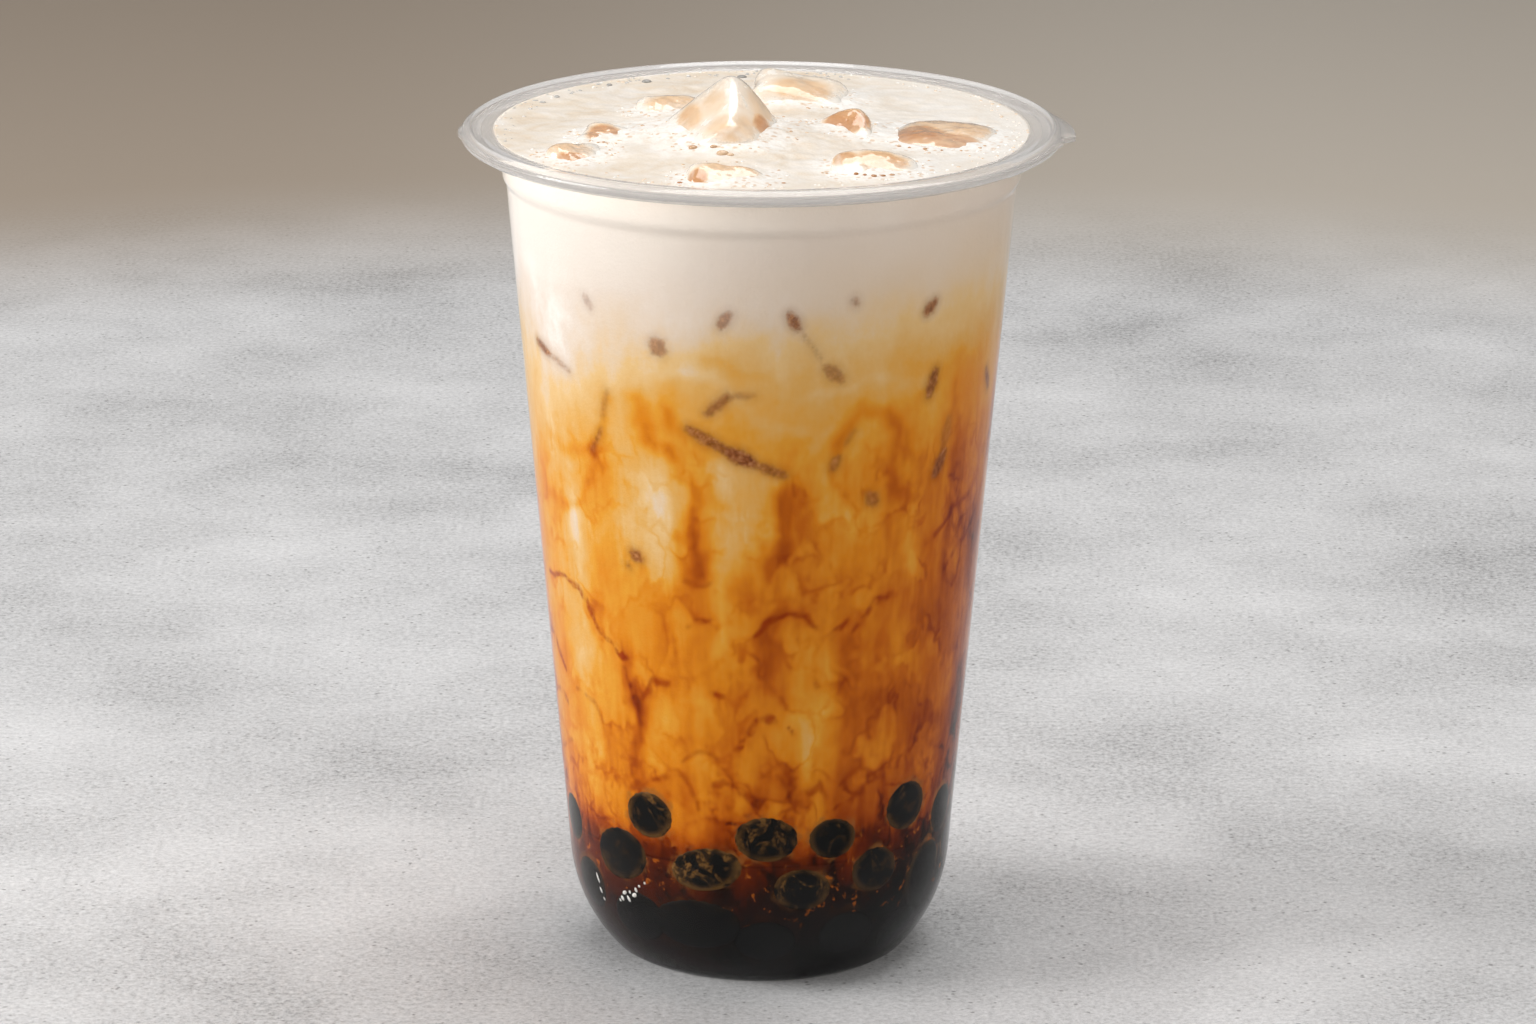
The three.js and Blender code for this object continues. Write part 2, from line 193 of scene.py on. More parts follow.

# Bubbles listed one by one: x, y, half width, and tone (0 grey, 0.33 white, 0.66 beige, 1 brown)
BUBBLES = [
    (-10.6, -19.4, 0.7, 0.84), (-7.4, -19.6, 0.55, 0.84), (-6, -22.6, 0.85, 0.74),
    (-4.8, -23.2, 0.5, 0.7), (-18.8, 33.9, 0.75, 0), (-3.3, 37, 0.7, 0), (-33, 21.7, 0.55, 0.05),
    (-24.8, 31, 0.5, 0), (-35.2, 18, 0.45, 0.1), (-12, 37.4, 0.35, 0.1), (-7.6, 38.2, 0.32, 0.1),
    (-29.4, 26.4, 0.36, 0.1), (-15.4, 36, 0.3, 0.1), (-22, 33, 0.32, 0.1), (-37, 13, 0.36, 0.15),
    (-37.8, 8, 0.3, 0.2), (14.5, -32.9, 0.45, 1), (15.8, -33.3, 0.35, 1), (17.2, -33.7, 0.5, 0.95),
    (18.6, -33.4, 0.35, 1), (20, -32.8, 0.4, 0.9), (13.2, -32.2, 0.35, 0.9), (21.4, -13.6, 0.32, 0.9),
    (23, -14.6, 0.3, 0.95), (25.4, -15.4, 0.34, 0.9), (28, -15.8, 0.28, 0.9), (31, -15.6, 0.3, 0.85),
    (34, -13.8, 0.28, 0.8), (-26.6, -13, 0.4, 0.8), (-24.6, -14.2, 0.32, 0.9), (-12.4, -38, 0.36, 1),
    (3.4, -38, 0.3, 0.9),
]

# Bubbles placed by chance
BUBBLE_SEED = 5
SMALL_BUBBLE = (0.1, 0.3)
BUBBLE_FLATNESS = 0.55
BUBBLES_PER_ICE = 30
BUBBLES_AT_WALL = 320
BUBBLE_BAND = 3.2
BUBBLE_CLEAR = 0.2
GREY_BUBBLES = (1.2, 3.4)
WHITE_TONE = 0.33

# Painted highlights: small white glints in the syrup against the wall: degrees, height, half width and half
# height
GLINT_DEPTH = 0.3
GLINT_LEAN = 0.5
GLINTS = [
    (-136.8, 13.4, 0.34, 0.5), (-135.6, 14.5, 0.5, 0.35), (-134, 13.7, 0.3, 0.65),
    (-133.2, 14.9, 0.22, 0.3), (-131.4, 14.6, 0.55, 0.4), (-130.6, 15.6, 0.25, 0.45),
    (-129.2, 16.4, 0.2, 0.25), (-138, 12.9, 0.22, 0.3), (-148.8, 15.2, 0.22, 1),
    (-147.9, 13.2, 0.28, 0.6), (-147, 11.8, 0.2, 0.35), (-127, 17.2, 0.18, 0.25),
]

# Sunk ice that touches the wall: from angle and height to angle and height, width, depth of colour
ICE_MARKS = [
    (-134.6, 114.4, -133, 113, 1.2, 0.35), (-156.9, 104.2, -150.5, 102.9, 1.3, 0.85),
    (-150.5, 102.9, -142.5, 101.4, 0.7, 0.5), (-115.2, 108.7, -113.8, 107.8, 3, 0.62),
    (-97.4, 114.4, -99.2, 112.6, 1.7, 0.6), (-83.4, 114.4, -81.4, 112.2, 1.6, 0.85),
    (-81.4, 112.2, -76, 107, 0.5, 0.35), (-74.5, 105.4, -71, 103.5, 2.2, 0.55),
    (-68.2, 116.2, -67.6, 115.6, 1.1, 0.5), (-46.4, 113.8, -48.6, 112.4, 1.8, 0.85),
    (-44.2, 102.2, -45.8, 98.8, 2, 0.85), (-19.4, 98.9, -17, 96, 1.4, 0.9),
    (-102.9, 98.2, -97.5, 101.2, 1.3, 0.75), (-97.5, 101.2, -91.6, 101.4, 0.9, 0.4),
    (-107.4, 95.2, -98, 92.2, 1.7, 0.85), (-98, 92.2, -92, 90.2, 2.3, 1),
    (-92, 90.2, -84.3, 88.2, 1.5, 0.75), (-129.4, 99.6, -131.5, 95, 0.8, 0.4),
    (-132.2, 93, -135.5, 89.3, 0.7, 0.6), (-70.8, 90.6, -72.4, 89, 1.5, 0.6),
    (-67, 94.8, -69, 92.8, 0.9, 0.35), (-38.3, 88.4, -41.2, 85, 1.9, 0.9),
    (-37.4, 93.5, -38.6, 89.4, 2.2, 0.35), (-62, 83.8, -60.2, 82.6, 2.4, 0.6),
    (-124.2, 73.5, -122.2, 72.7, 1.9, 0.9), (-126.4, 71.4, -125.4, 70.8, 0.8, 0.5),
    (12, 108, 20, 105, 1.6, 0.8), (38, 99, 52, 94, 1.8, 0.9), (70, 113, 73, 111, 1.6, 0.6),
    (86, 103, 97, 105, 1.5, 0.7), (112, 90, 124, 95, 2, 0.9), (140, 110, 143, 107, 1.6, 0.7),
    (158, 98, 161, 93, 1.8, 0.8), (176, 112, 180, 110, 1.5, 0.6), (30, 84, 25, 80, 1.7, 0.7),
    (150, 82, 156, 79, 1.5, 0.7), (92, 84, 98, 80, 1.7, 0.6), (62, 92, 64, 90, 2.4, 0.6),
]

# How much tea there is in the milk at a height, 0 for plain milk and 1 for thick syrup
TEA_AT_HEIGHT = [
    (0, 1), (6, 0.99), (12, 0.96), (19, 0.87), (24, 0.8), (28, 0.67), (32, 0.59), (38, 0.56),
    (54, 0.558), (66, 0.54), (76, 0.505), (84, 0.47), (92, 0.42), (98, 0.35), (104, 0.27), (110, 0.16),
    (116, 0.09), (122, 0.065), (130, 0.04), (136, 0.03),
]
# Painted shade: more tea towards the right, fading in below the top, darkens the drink where less light falls
PAINTED_SHADE_TO_THE_RIGHT = 0.085
SIDE_RADIUS = 34
SIDE_SHADE_TOP = 136
SIDE_SHADE_DEPTH = 30
SPLASH_POWER = 2.4

# Marbling at the sides and the back
MARBLING_SEED = 23
BACK_SPLASHES = 64
BACK_VEINS = 34

# Curls that push about what is listed: how far, and how broad they are. Sunk ice takes a share of it
BROAD_CURLS = (2.0, 7.0)
FINE_CURLS = (0.6, 2.0)
SHARE_FOR_ICE = 0.15

# The gap at which a vein or a stroke of sunk ice no longer counts
LINE_REACH = 4.0

# Splashes at the front: degrees, height, half width, half height, lean, and more tea or (below 0) more milk
SPLASHES = [
    (-146, 104.5, 7.5, 8, 0.1, -0.07), (-151, 94.5, 5, 8, 0, -0.09), (-117.7, 81, 4.8, 8.5, 0, -0.2),
    (-93, 82, 3.8, 7, 0, -0.16), (-100, 88, 4.8, 2.6, 0, -0.14), (-67.6, 78.6, 4, 5.2, 0, -0.16),
    (-145, 75, 2.8, 6.5, 0, -0.19), (-149, 59, 4, 10.5, 0.05, -0.15), (-115.2, 72.5, 1.6, 6, 0, -0.11),
    (-96.3, 76, 3.6, 4.5, 0, -0.13), (-99.9, 63.6, 1.6, 8.5, 0, -0.12), (-74.1, 72.9, 3.2, 3.6, 0, -0.06),
    (-48.4, 73.1, 1.9, 5.5, 0, -0.1), (-49.9, 58.5, 1.9, 4.5, 0, -0.09), (-76.1, 55, 4.4, 7, 0, -0.12),
    (-74.5, 44, 3.8, 5.5, 0, -0.12), (-145.5, 42.8, 2.8, 7.5, -0.1, -0.12),
    (-141.4, 38.5, 1.3, 3.2, 0, -0.13), (-117.9, 45.2, 2.6, 4.6, 0, -0.1),
    (-103.9, 48, 3.2, 3.2, 0, -0.06), (-104.3, 38.8, 4.5, 3, 0, -0.08), (-76.2, 39.7, 1.1, 3.6, 0, -0.11),
    (-72.5, 30.5, 1.1, 5.5, -0.1, -0.12), (-57.9, 53.3, 2.2, 3.2, 0, -0.06),
    (-128.9, 103.5, 4.2, 3.2, 0.2, -0.04), (-136, 96, 3.4, 5, 0.2, -0.05), (-122, 66, 2.6, 4.5, 0, -0.04),
    (-85.5, 46.5, 3, 3, 0, -0.05), (-60, 44, 2.4, 4, 0, -0.04), (-105.6, 58.1, 3.2, 3.8, 0, 0.09),
    (-84.7, 77.6, 1.7, 8.5, 0, 0.13), (-85.2, 65.5, 1.6, 7, 0, 0.1), (-87.1, 53.3, 2.6, 6, 0, 0.09),
    (-82.3, 84.5, 3.2, 3.4, 0, 0.12), (-78.3, 79.2, 2.4, 3, 0, 0.12), (-129.4, 53.6, 1.8, 4.5, 0.1, 0.12),
    (-125.2, 47, 1.7, 6, 0.05, 0.14), (-126.6, 38.7, 1.8, 4, 0, 0.1), (-113, 97, 3.4, 2.6, 0.3, 0.08),
    (-110.8, 101, 3.2, 2, 0.3, 0.05), (-92.2, 108.2, 4.5, 2.2, 0.2, 0.05), (-36, 100.7, 7, 6, 0, 0.04),
    (-46.4, 48, 7, 11, 0, 0.06), (-15.8, 46, 3.2, 25, 0, 0.13), (-28, 80, 4.2, 10, 0, 0.1),
    (-161, 82, 2.6, 6, 0, 0.08), (-133, 86, 2.2, 7, 0.1, 0.07), (-136, 68, 2, 7, 0, 0.06),
    (-109, 72, 1.6, 6, 0, 0.07), (-55, 80, 1.6, 7, 0, 0.08), (-66, 52, 1.8, 8, 0, 0.08),
    (-112, 33, 4, 3, 0, 0.05), (-93, 68, 1.6, 5, 0, 0.05),
]

# Soft bands at the front: half width, more tea or (below 0) more milk, then places as angle and height
SWIRLS = [
    (1.5, 0.15, [(-121, 100), (-116.7, 92.8), (-108.8, 89.1), (-104.5, 84.2), (-106, 79), (-107, 72)]),
    (1, 0.09, [(-114, 99), (-111, 95), (-104, 90), (-99.5, 83)]),
    (1.3, 0.13, [
        (-71.1, 92), (-68, 96.4), (-64.8, 98.2), (-57.8, 98.1), (-54.1, 94.5), (-54.3, 86), (-50, 81),
    ]),
    (1, 0.1, [(-154.3, 89.7), (-146, 87.5), (-134.1, 89.3)]),
    (1, 0.11, [(-158, 79.6), (-150, 78.6), (-139.6, 79.9), (-138.5, 83)]),
    (1.2, 0.08, [(-128, 99), (-133, 91), (-137, 84)]),
    (1, 0.08, [(-36, 98), (-33, 90), (-35, 80), (-32, 68)]),
    (0.9, 0.1, [(-73, 89), (-67.5, 83.5), (-64, 78)]),
    (1.1, 0.07, [(-104, 107), (-94, 104.5), (-86, 106)]),
    (1.2, -0.07, [(-112, 103.5), (-101, 104.8), (-92, 98), (-80, 95.5)]),
    (1.1, -0.06, [(-78, 100), (-70, 100.5), (-60, 103), (-48, 101)]),
    (1, -0.06, [(-88, 86.5), (-80, 90), (-74, 95)]),
]

# Thin dark veins at the front: width, depth of colour, then places as angle and height
VEINS = [
    (0.3, 0.8, [(-166, 64.7), (-155, 66.5), (-145, 65.2), (-137, 60.2), (-132.5, 57.6)]),
    (1.00, 0.9, [(-132, 57.2), (-129.8, 56.2)]),
    (0.25, 0.6, [(-129.4, 54.2), (-126.5, 50.5), (-126, 46)]),
    (0.3, 0.75, [(-123.1, 48.8), (-118.7, 52.3), (-113.7, 51.4)]),
    (0.25, 0.6, [(-108.9, 62.7), (-106, 63.7), (-103.3, 63.3)]),
    (0.8, 0.8, [(-102.8, 52.3), (-101.8, 51.9)]),
    (0.25, 0.45, [(-112.5, 71), (-108, 69.8), (-103, 70.6)]),
    (0.35, 0.8, [(-89.9, 60.8), (-87, 63.6), (-83.2, 64.8), (-79, 64.6), (-74.8, 63.4)]),
    (0.8, 0.8, [(-70.6, 61.4), (-68.6, 62.8), (-67.4, 63.4)]),
    (0.4, 0.8, [(-63.4, 62), (-61, 64.4), (-59.1, 65.4), (-54.4, 66.3)]),
    (0.45, 0.9, [(-94.8, 41.6), (-92.6, 44.6), (-91, 46.4)]),
    (0.5, 0.8, [(-88.6, 47.1), (-87.6, 47.9)]),
    (0.35, 0.6, [(-83.8, 46.6), (-82, 45.6)]),
    (0.3, 0.55, [(-75.5, 53.2), (-74.4, 52.2)]),
    (0.4, 0.7, [(-43, 74), (-37.1, 76), (-32.9, 78.4), (-24.6, 79.6)]),
    (0.35, 0.65, [(-32, 68.5), (-22, 72.7), (-15, 77.4)]),
    (0.3, 0.55, [(-35, 84), (-30, 79), (-24, 73)]),
    (0.4, 0.6, [(-101, 35.4), (-98, 36.4), (-94, 34.2), (-90, 32.2)]),
    (0.4, 0.6, [(-88.5, 38.2), (-85, 39.5), (-81.5, 37.2)]),
    (0.45, 0.65, [(-77, 34.4), (-73.5, 35.6), (-70, 33.2)]),
    (0.35, 0.5, [(-64.5, 36.6), (-61, 39), (-57, 36)]),
    (0.3, 0.45, [(-150, 47), (-144, 46.5), (-139, 42.5)]),
    (0.3, 0.45, [(-112, 38.6), (-108, 40.5), (-104, 41.2), (-100, 39.5)]),
    (0.35, 0.55, [(-120, 35.5), (-116, 37), (-112, 35.4), (-108, 32)]),
]


def linear(*srgb):
    """A colour given in 0 to 255 as shown on a screen, as the linear values that a shader takes."""
    parts = [c / 255 for c in srgb]
    return tuple(c / 12.92 if c <= 0.04045 else ((c + 0.055) / 1.055) ** 2.4 for c in parts) + (1.0,)


# Shapes


def arc(centre_r, centre_z, radius, start, end, steps):
    """Points of a profile on a round stretch, from one turn to another in radians."""
    turns = [start + (end - start) * i / steps for i in range(steps + 1)]
    return [(centre_r + radius * math.cos(a), centre_z + radius * math.sin(a)) for a in turns]


def heel_floor_angle(inset, floor):
    """Where on the heel's round the floor's height is reached, in radians."""
    return math.asin((floor - HEEL_CENTRE_Z) / (HEEL_ROUND - inset))


def band_radius(share):
    """The outer radius over the soft step from the shoulder to the wider band, share being 0 to 1 up it."""
    return SHOULDER_RADIUS + (BAND_RADIUS - SHOULDER_RADIUS) * (3 * share ** 2 - 2 * share ** 3)


def wall_profile(inset, floor, heel_steps, lip_steps):
    """The wall from the floor to the lip, at inset inside the cup's outer face."""
    heel_start = heel_floor_angle(inset, floor)
    heel = arc(HEEL_CENTRE_R, HEEL_CENTRE_Z, HEEL_ROUND - inset, heel_start, -TAPER, heel_steps)
    lip = arc(LIP_RADIUS, LIP_CENTRE_Z, LIP_ROUND - WALL + inset, math.pi, math.pi / 2, lip_steps)
    ramp = []
    for i in range(BAND_STEPS + 1):
        share = i / BAND_STEPS
        ramp.append((float(band_radius(share)) - inset, SHOULDER_HEIGHT + BAND_RAMP * share))
    return heel + ramp + lip


def wall_radius(height, inset):
    """The wall's radius at an array of heights, inset inside the cup's outer face."""
    height = np.asarray(height, float)
    round_ = HEEL_ROUND - inset
    under = np.clip(round_ ** 2 - (height - HEEL_CENTRE_Z) ** 2, 0, None)
    heel = HEEL_CENTRE_R + np.sqrt(under)
    straight = HEEL_RADIUS + (height - HEEL_HEIGHT) * math.tan(TAPER) - inset / math.cos(TAPER)
    ramp = band_radius(np.clip((height - SHOULDER_HEIGHT) / BAND_RAMP, 0, 1)) - inset
    lip_round = LIP_ROUND - WALL + inset
    above = np.clip(height - LIP_CENTRE_Z, 0, lip_round)
    lip = LIP_RADIUS - np.sqrt(lip_round ** 2 - above ** 2)
    radius = np.where(height > HEEL_CENTRE_Z - round_ * math.sin(TAPER), straight, heel)
    radius = np.where(height > SHOULDER_HEIGHT, ramp, radius)
    return np.where(height > LIP_CENTRE_Z, lip, radius)


def make_mesh(name, points, faces, material):
    """Makes a piece from points in millimetres, which rides on the root."""
    mesh = bpy.data.meshes.new(name)
    points = np.asarray(points, float) * MM
    mesh.from_pydata(points.tolist(), [], faces)
    mesh.validate()
    mesh.shade_smooth()
    piece = bpy.data.objects.new(name, mesh)
    bpy.context.scene.collection.objects.link(piece)
    mesh.materials.append(material)
    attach(piece, "root")
    return piece


def revolve(profile, angles):
    """Turns a profile that starts and ends on the axis about Z.

    Gives points, faces, and each point's step along the profile."""
    profile = np.asarray(profile, float)
    middle = profile[1:-1]
    rows, sides = len(middle), len(angles)
    r = np.repeat(middle[:, 0], sides)
    z = np.repeat(middle[:, 1], sides)
    a = np.tile(np.asarray(angles), rows)
    points = np.column_stack([r * np.cos(a), r * np.sin(a), z])
    ends = np.array([[0, 0, profile[0, 1]], [0, 0, profile[-1, 1]]])
    points = np.vstack([points, ends])
    low, high = rows * sides, rows * sides + 1
    faces = []
    for k in range(rows - 1):
        for i in range(sides):
            j = (i + 1) % sides
            faces.append((k * sides + i, k * sides + j, (k + 1) * sides + j, (k + 1) * sides + i))
    top = (rows - 1) * sides
    for i in range(sides):
        j = (i + 1) % sides
        faces.append((low, j, i))
        faces.append((high, top + i, top + j))
    return points, faces, np.repeat(np.arange(rows), sides)


def even_angles(sides):
    return [2 * math.pi * i / sides for i in range(sides)]


def wall_places(points):
    """Each point's angle in degrees, height, and distance from the axis."""
    x, y, height = points.T
    return np.degrees(np.arctan2(y, x)), height, np.hypot(x, y)


def turned(degrees, start):
    """How far angles are turned on from a start, from -180 to 180 degrees."""
    return (degrees - start + 180) % 360 - 180


def ice_reach(piece, order, ways):
    """How far a rounded, dented block reaches along unit directions in its own axes."""
    share = (np.abs(ways) / np.array(piece.half)) ** piece.square
    reach = share.sum(1) ** (-1 / piece.square)
    x, y, z = ways.T
    return reach * (1 + ICE_DENT * np.sin(3 * x + 2 * order) * np.cos(4 * y - order + 2 * z))


def ice_turn(piece):
    """The block's own axes as columns: it turns about its Z, then Y, then X."""
    return Euler([math.radians(t) for t in piece.tilt], "ZYX").to_matrix()


def foam_height(x, y):
    """How far the foam's mounds round the ice stand over the level."""
    height = np.zeros_like(x)
    for piece in ICE:
        away = np.hypot(x - piece.at[0], y - piece.at[1]) / piece.spread
        height += piece.rise * np.exp(-(away ** MOUND_POWER))
    return height


def lehmer(seed):
    """Draws between 0 and 1, the same ones each time."""
    state = seed
    while True:
        state = state * 16807 % 2147483647
        yield state / 2147483647


def pearl_places():
    """Each pearl's angle in radians, height, radius, half width, half height, lean in radians, and gold."""
    draw = lehmer(PEARL_SEED)
    places = list(PEARLS_IN_FRONT)
    for row in PEARL_ROWS:
        for i in range(row["count"]):
            angle = row["start"] + row["step"] * i + PEARL_DRIFT * (2 * next(draw) - 1)
            height = row["height"] + row["shake"] * (2 * next(draw) - 1)
            radius = PEARL_RADIUS + PEARL_SPREAD * (2 * next(draw) - 1)
            lean = PEARL_LEAN * math.sin(2.4 * i + row["height"])
            gold = PEARL_GOLD[i % len(PEARL_GOLD)]
            places.append((angle, height, radius, radius * PEARL_WIDER, radius * PEARL_LOWER, lean, gold))
    lowest = FOOT_HEIGHT + WALL + GAP
    return [
        (math.radians(angle), max(lowest + radius, height), radius, wide, tall, math.radians(lean), gold)
        for angle, height, radius, wide, tall, lean, gold in places
    ]


PEARLS = pearl_places()


# Materials


class Graph:
    """A material's nodes, made by short calls."""

    def __init__(self, name):
        self.material = bpy.data.materials.new(name)
        self.material.use_nodes = True
        self.tree = self.material.node_tree
        self.tree.nodes.clear()
        self.out = self.node("ShaderNodeOutputMaterial")
        self.place = self.node("ShaderNodeTexCoord").outputs["Object"]

    def node(self, kind, **settings):
        made = self.tree.nodes.new(kind)
        for key, value in settings.items():
            setattr(made, key, value)
        return made

    def feed(self, socket, value):
        """Links the socket to a node's output, or sets it: three numbers are a colour on a screen."""
        if isinstance(value, bpy.types.NodeSocket):
            self.tree.links.new(value, socket)
        elif isinstance(value, tuple) and len(value) == 3:
            socket.default_value = linear(*value)
        else:
            socket.default_value = value

    def math(self, operation, a, b=0.0, c=0.0):
        made = self.node("ShaderNodeMath", operation=operation)
        for socket, value in zip(made.inputs, (a, b, c)):
            self.feed(socket, value)
        return made.outputs[0]

    def times(self, first, *others):
        """The product of all the values."""
        product = first
        for value in others:
            product = self.math("MULTIPLY", product, value)
        return product

    def plus(self, base, value, share=1.0):
        """The base with a share of the value added."""
        return self.math("MULTIPLY_ADD", value, share, base)

    def centred(self, value):
        """A value round one half, moved to lie round 0."""
        return self.math("SUBTRACT", value, 0.5)

    def stretch(self, scale):
        """The place scaled along each axis: what is drawn from it is stretched where the scale is small."""
        made = self.node("ShaderNodeMapping")
        self.feed(made.inputs["Vector"], self.place)
        made.inputs["Scale"].default_value = scale
        return made.outputs[0]

    def noise(self, size, vector=None, detail=3.0, rough=0.5, distort=0.0, colour=False):
        """Noise whose features are about size millimetres wide."""
        made = self.node("ShaderNodeTexNoise")
        self.feed(made.inputs["Vector"], vector or self.place)
        made.inputs["Scale"].default_value = 1 / (size * MM)
        made.inputs["Detail"].default_value = detail
        made.inputs["Roughness"].default_value = rough
        made.inputs["Distortion"].default_value = distort
        return made.outputs["Color" if colour else "Fac"]

    def cells(self, size, vector=None, feature="F1"):
        """How far places are from the middle or the edge of their cell, each about size mm wide."""
        made = self.node("ShaderNodeTexVoronoi", feature=feature)
        self.feed(made.inputs["Vector"], vector or self.place)
        made.inputs["Scale"].default_value = 1 / (size * MM)
        return made.outputs["Distance"]

    def warp(self, size, amount, vector=None):
        """The place, pushed about by noise of this size by up to amount millimetres."""
        push = self.node("ShaderNodeVectorMath", operation="MULTIPLY_ADD")
        self.feed(push.inputs[0], self.noise(size, vector, colour=True))
        push.inputs[1].default_value = (amount * MM,) * 3
        self.feed(push.inputs[2], vector or self.place)
        return push.outputs[0]

    def span(self, value, low, high, out_low=0.0, out_high=1.0):
        """A soft step of the output from low to high of the value."""
        made = self.node("ShaderNodeMapRange", interpolation_type="SMOOTHSTEP")
        for socket, entry in zip(made.inputs, (value, low, high, out_low, out_high)):
            self.feed(socket, entry)
        return made.outputs[0]

    def ramp(self, value, stops):
        """A colour by the value, from stops in rising order: each a place and a colour on a screen."""
        made = self.node("ShaderNodeValToRGB")
        band = made.color_ramp
        while len(band.elements) < len(stops):
            band.elements.new(0.5)
        for element, (at, *colour) in zip(band.elements, stops):
            element.position = at
            element.color = linear(*colour)
        self.feed(made.inputs[0], value)
        return made.outputs[0]

    def mix(self, share, a, b, blend="MIX"):
        """Colour a with a share of b mixed in, or blended with it."""
        made = self.node("ShaderNodeMix", data_type="RGBA", blend_type=blend)
        self.feed(made.inputs["Factor"], share)
        self.feed(made.inputs[6], a)
        self.feed(made.inputs[7], b)
        return made.outputs[2]

    def axis(self, which):
        made = self.node("ShaderNodeSeparateXYZ")
        self.feed(made.inputs[0], self.place)
        return made.outputs[which]

    def attribute(self, name):
        made = self.node("ShaderNodeAttribute", attribute_name=name)
        return made.outputs["Fac"]

    def bump(self, height, strength, distance):
        """A normal pushed about by a height between 0 and distance millimetres."""
        made = self.node("ShaderNodeBump")
        made.inputs["Strength"].default_value = strength
        made.inputs["Distance"].default_value = distance * MM
        self.feed(made.inputs["Height"], height)
        return made.outputs[0]

    def principled(self, **values):
        made = self.node("ShaderNodeBsdfPrincipled")
        for key, value in values.items():
            self.feed(made.inputs[key.replace("_", " ")], value)
        return made.outputs[0]

    def blend(self, share, first, second):
        made = self.node("ShaderNodeMixShader")
        for socket, value in zip(made.inputs, (share, first, second)):
            self.feed(socket, value)
        return made.outputs[0]

    def finish(self, shader):
        self.tree.links.new(shader, self.out.inputs["Surface"])
        return self.material


# Heights in metres over which the looks of the cup and the drink change
RIM_BENDS = (0.1275, 0.1310)
RIM_CLOUDS = (0.1325, 0.1350)
HEEL_BENDS = (0.026, 0.010)
HEEL_BLURS = (0.030, 0.016)
STREAKS_START = (0.100, 0.084)
MILK_STAYS_PLAIN = (0.122, 0.104)
SYRUP_STAYS_PLAIN = (0.012, 0.030)
SEAMS_START = (0.046, 0.034)
FILM_STARTS = (0.012, 0.024)
AMBER_GLINTS_START = (0.010, 0.016)
AMBER_GLINTS_END = (0.030, 0.024)
GOLD_STARTS = (0.011, 0.020)

# How strongly the cup's wall, rim and heel bend light
WALL_IOR = 1.22
RIM_IOR = 1.46
HEEL_IOR = 1.36

# Half the floor's side, and where it gives way to the darker ground far off, in metres
FLOOR = 4.0
FLOOR_ENDS = (0.41, 0.55)
GROUND_FROM_LEFT_TO_RIGHT = (-0.15, 0.15)


def cup_material():
    """Clear thin plastic, blurred at the heel, and a little milky in rings where the rim is thick."""
    g = Graph("clear_plastic")
    height = g.axis(2)
    smudges = g.span(g.noise(9, detail=4), 0.35, 0.75, 0.015, 0.06)
    rough_heel = g.span(height, *HEEL_BLURS, 0.0, 0.16)
    scratch = g.noise(0.9, g.stretch((1, 1, 0.15)), detail=2)
    rim_bend = g.span(g.span(height, *RIM_BENDS), 0, 1, WALL_IOR, RIM_IOR)
    heel_bend = g.span(height, *HEEL_BENDS, WALL_IOR, HEEL_IOR)
    glass = g.principled(
        Base_Color=(0.99, 0.99, 0.985, 1), Roughness=g.math("MAXIMUM", smudges, rough_heel),
        IOR=g.math("MAXIMUM", rim_bend, heel_bend), Transmission_Weight=1.0,
        Specular_Tint=(0.8, 0.8, 0.8, 1), Normal=g.bump(scratch, 0.03, 0.01),
    )
    milky = g.principled(Base_Color=(232, 226, 220), Roughness=0.2)
    rings = g.span(g.noise(0.5, g.stretch((0, 0, 1)), detail=2), 0.35, 0.65, 0.16, 0.46)
    body = g.blend(g.times(g.span(height, *RIM_CLOUDS), rings), glass, milky)
    clear = g.node("ShaderNodeBsdfTransparent")
    clear.inputs["Color"].default_value = (0.97, 0.97, 0.965, 1)
    in_shadow = g.node("ShaderNodeLightPath").outputs["Is Shadow Ray"]
    return g.finish(g.blend(in_shadow, body, clear.outputs[0]))


def tea_share(g, fine):
    """How much tea is in the milk, 0 to 1: what is stored on the points, with streaks and clouds added."""
    height = g.axis(2)
    low = g.span(height, *STREAKS_START)
    streak = g.noise(3.4, g.warp(9, 4, g.stretch((1, 1, 0.17))), detail=5, rough=0.6)
    cloud = g.noise(9, g.warp(14, 8, g.stretch((1, 1, 0.7))), detail=5, rough=0.55)
    curl = g.noise(8, g.warp(6, 5, g.stretch((1, 1, 0.8))), detail=3, rough=0.5)
    curl_edge = g.span(g.math("ABSOLUTE", g.centred(curl)), 0.040, 0.004)
    curl_edge = g.times(curl_edge, g.span(g.noise(6, detail=1), 0.42, 0.58))
    stones = g.cells(7, g.warp(3, 6), "DISTANCE_TO_EDGE")
    seams = g.times(g.span(stones, 0.14, 0.0), g.span(g.noise(3.2, detail=3), 0.40, 0.60))

    swing = g.times(g.centred(streak), g.span(low, 0, 1, 0.10, 0.30))
    swing = g.plus(swing, g.centred(cloud), 0.30)
    swing = g.plus(swing, g.centred(fine), 0.07)
    swing = g.plus(swing, g.times(curl_edge, low), 0.05)
    swing = g.plus(swing, g.times(g.span(curl, 0.50, 0.60), low), -0.06)
    swing = g.plus(swing, g.times(seams, g.span(height, *SEAMS_START)), 0.09)
    where = g.times(g.span(height, *MILK_STAYS_PLAIN), g.span(height, *SYRUP_STAYS_PLAIN, 0.25, 1.0))
    return g.plus(g.attribute("tea"), swing, where)


def with_veins(g, colour, gap, depth):
    """The colour with thin, broken, darker veins over it."""
    broken = g.span(g.noise(2.6, detail=3), 0.36, 0.52, 0.15, 1.0)
    vein = g.times(g.span(gap, 0.70, -0.1), depth, broken)
    return g.mix(vein, colour, g.mix(1.0, colour, (184, 104, 74), "MULTIPLY"))


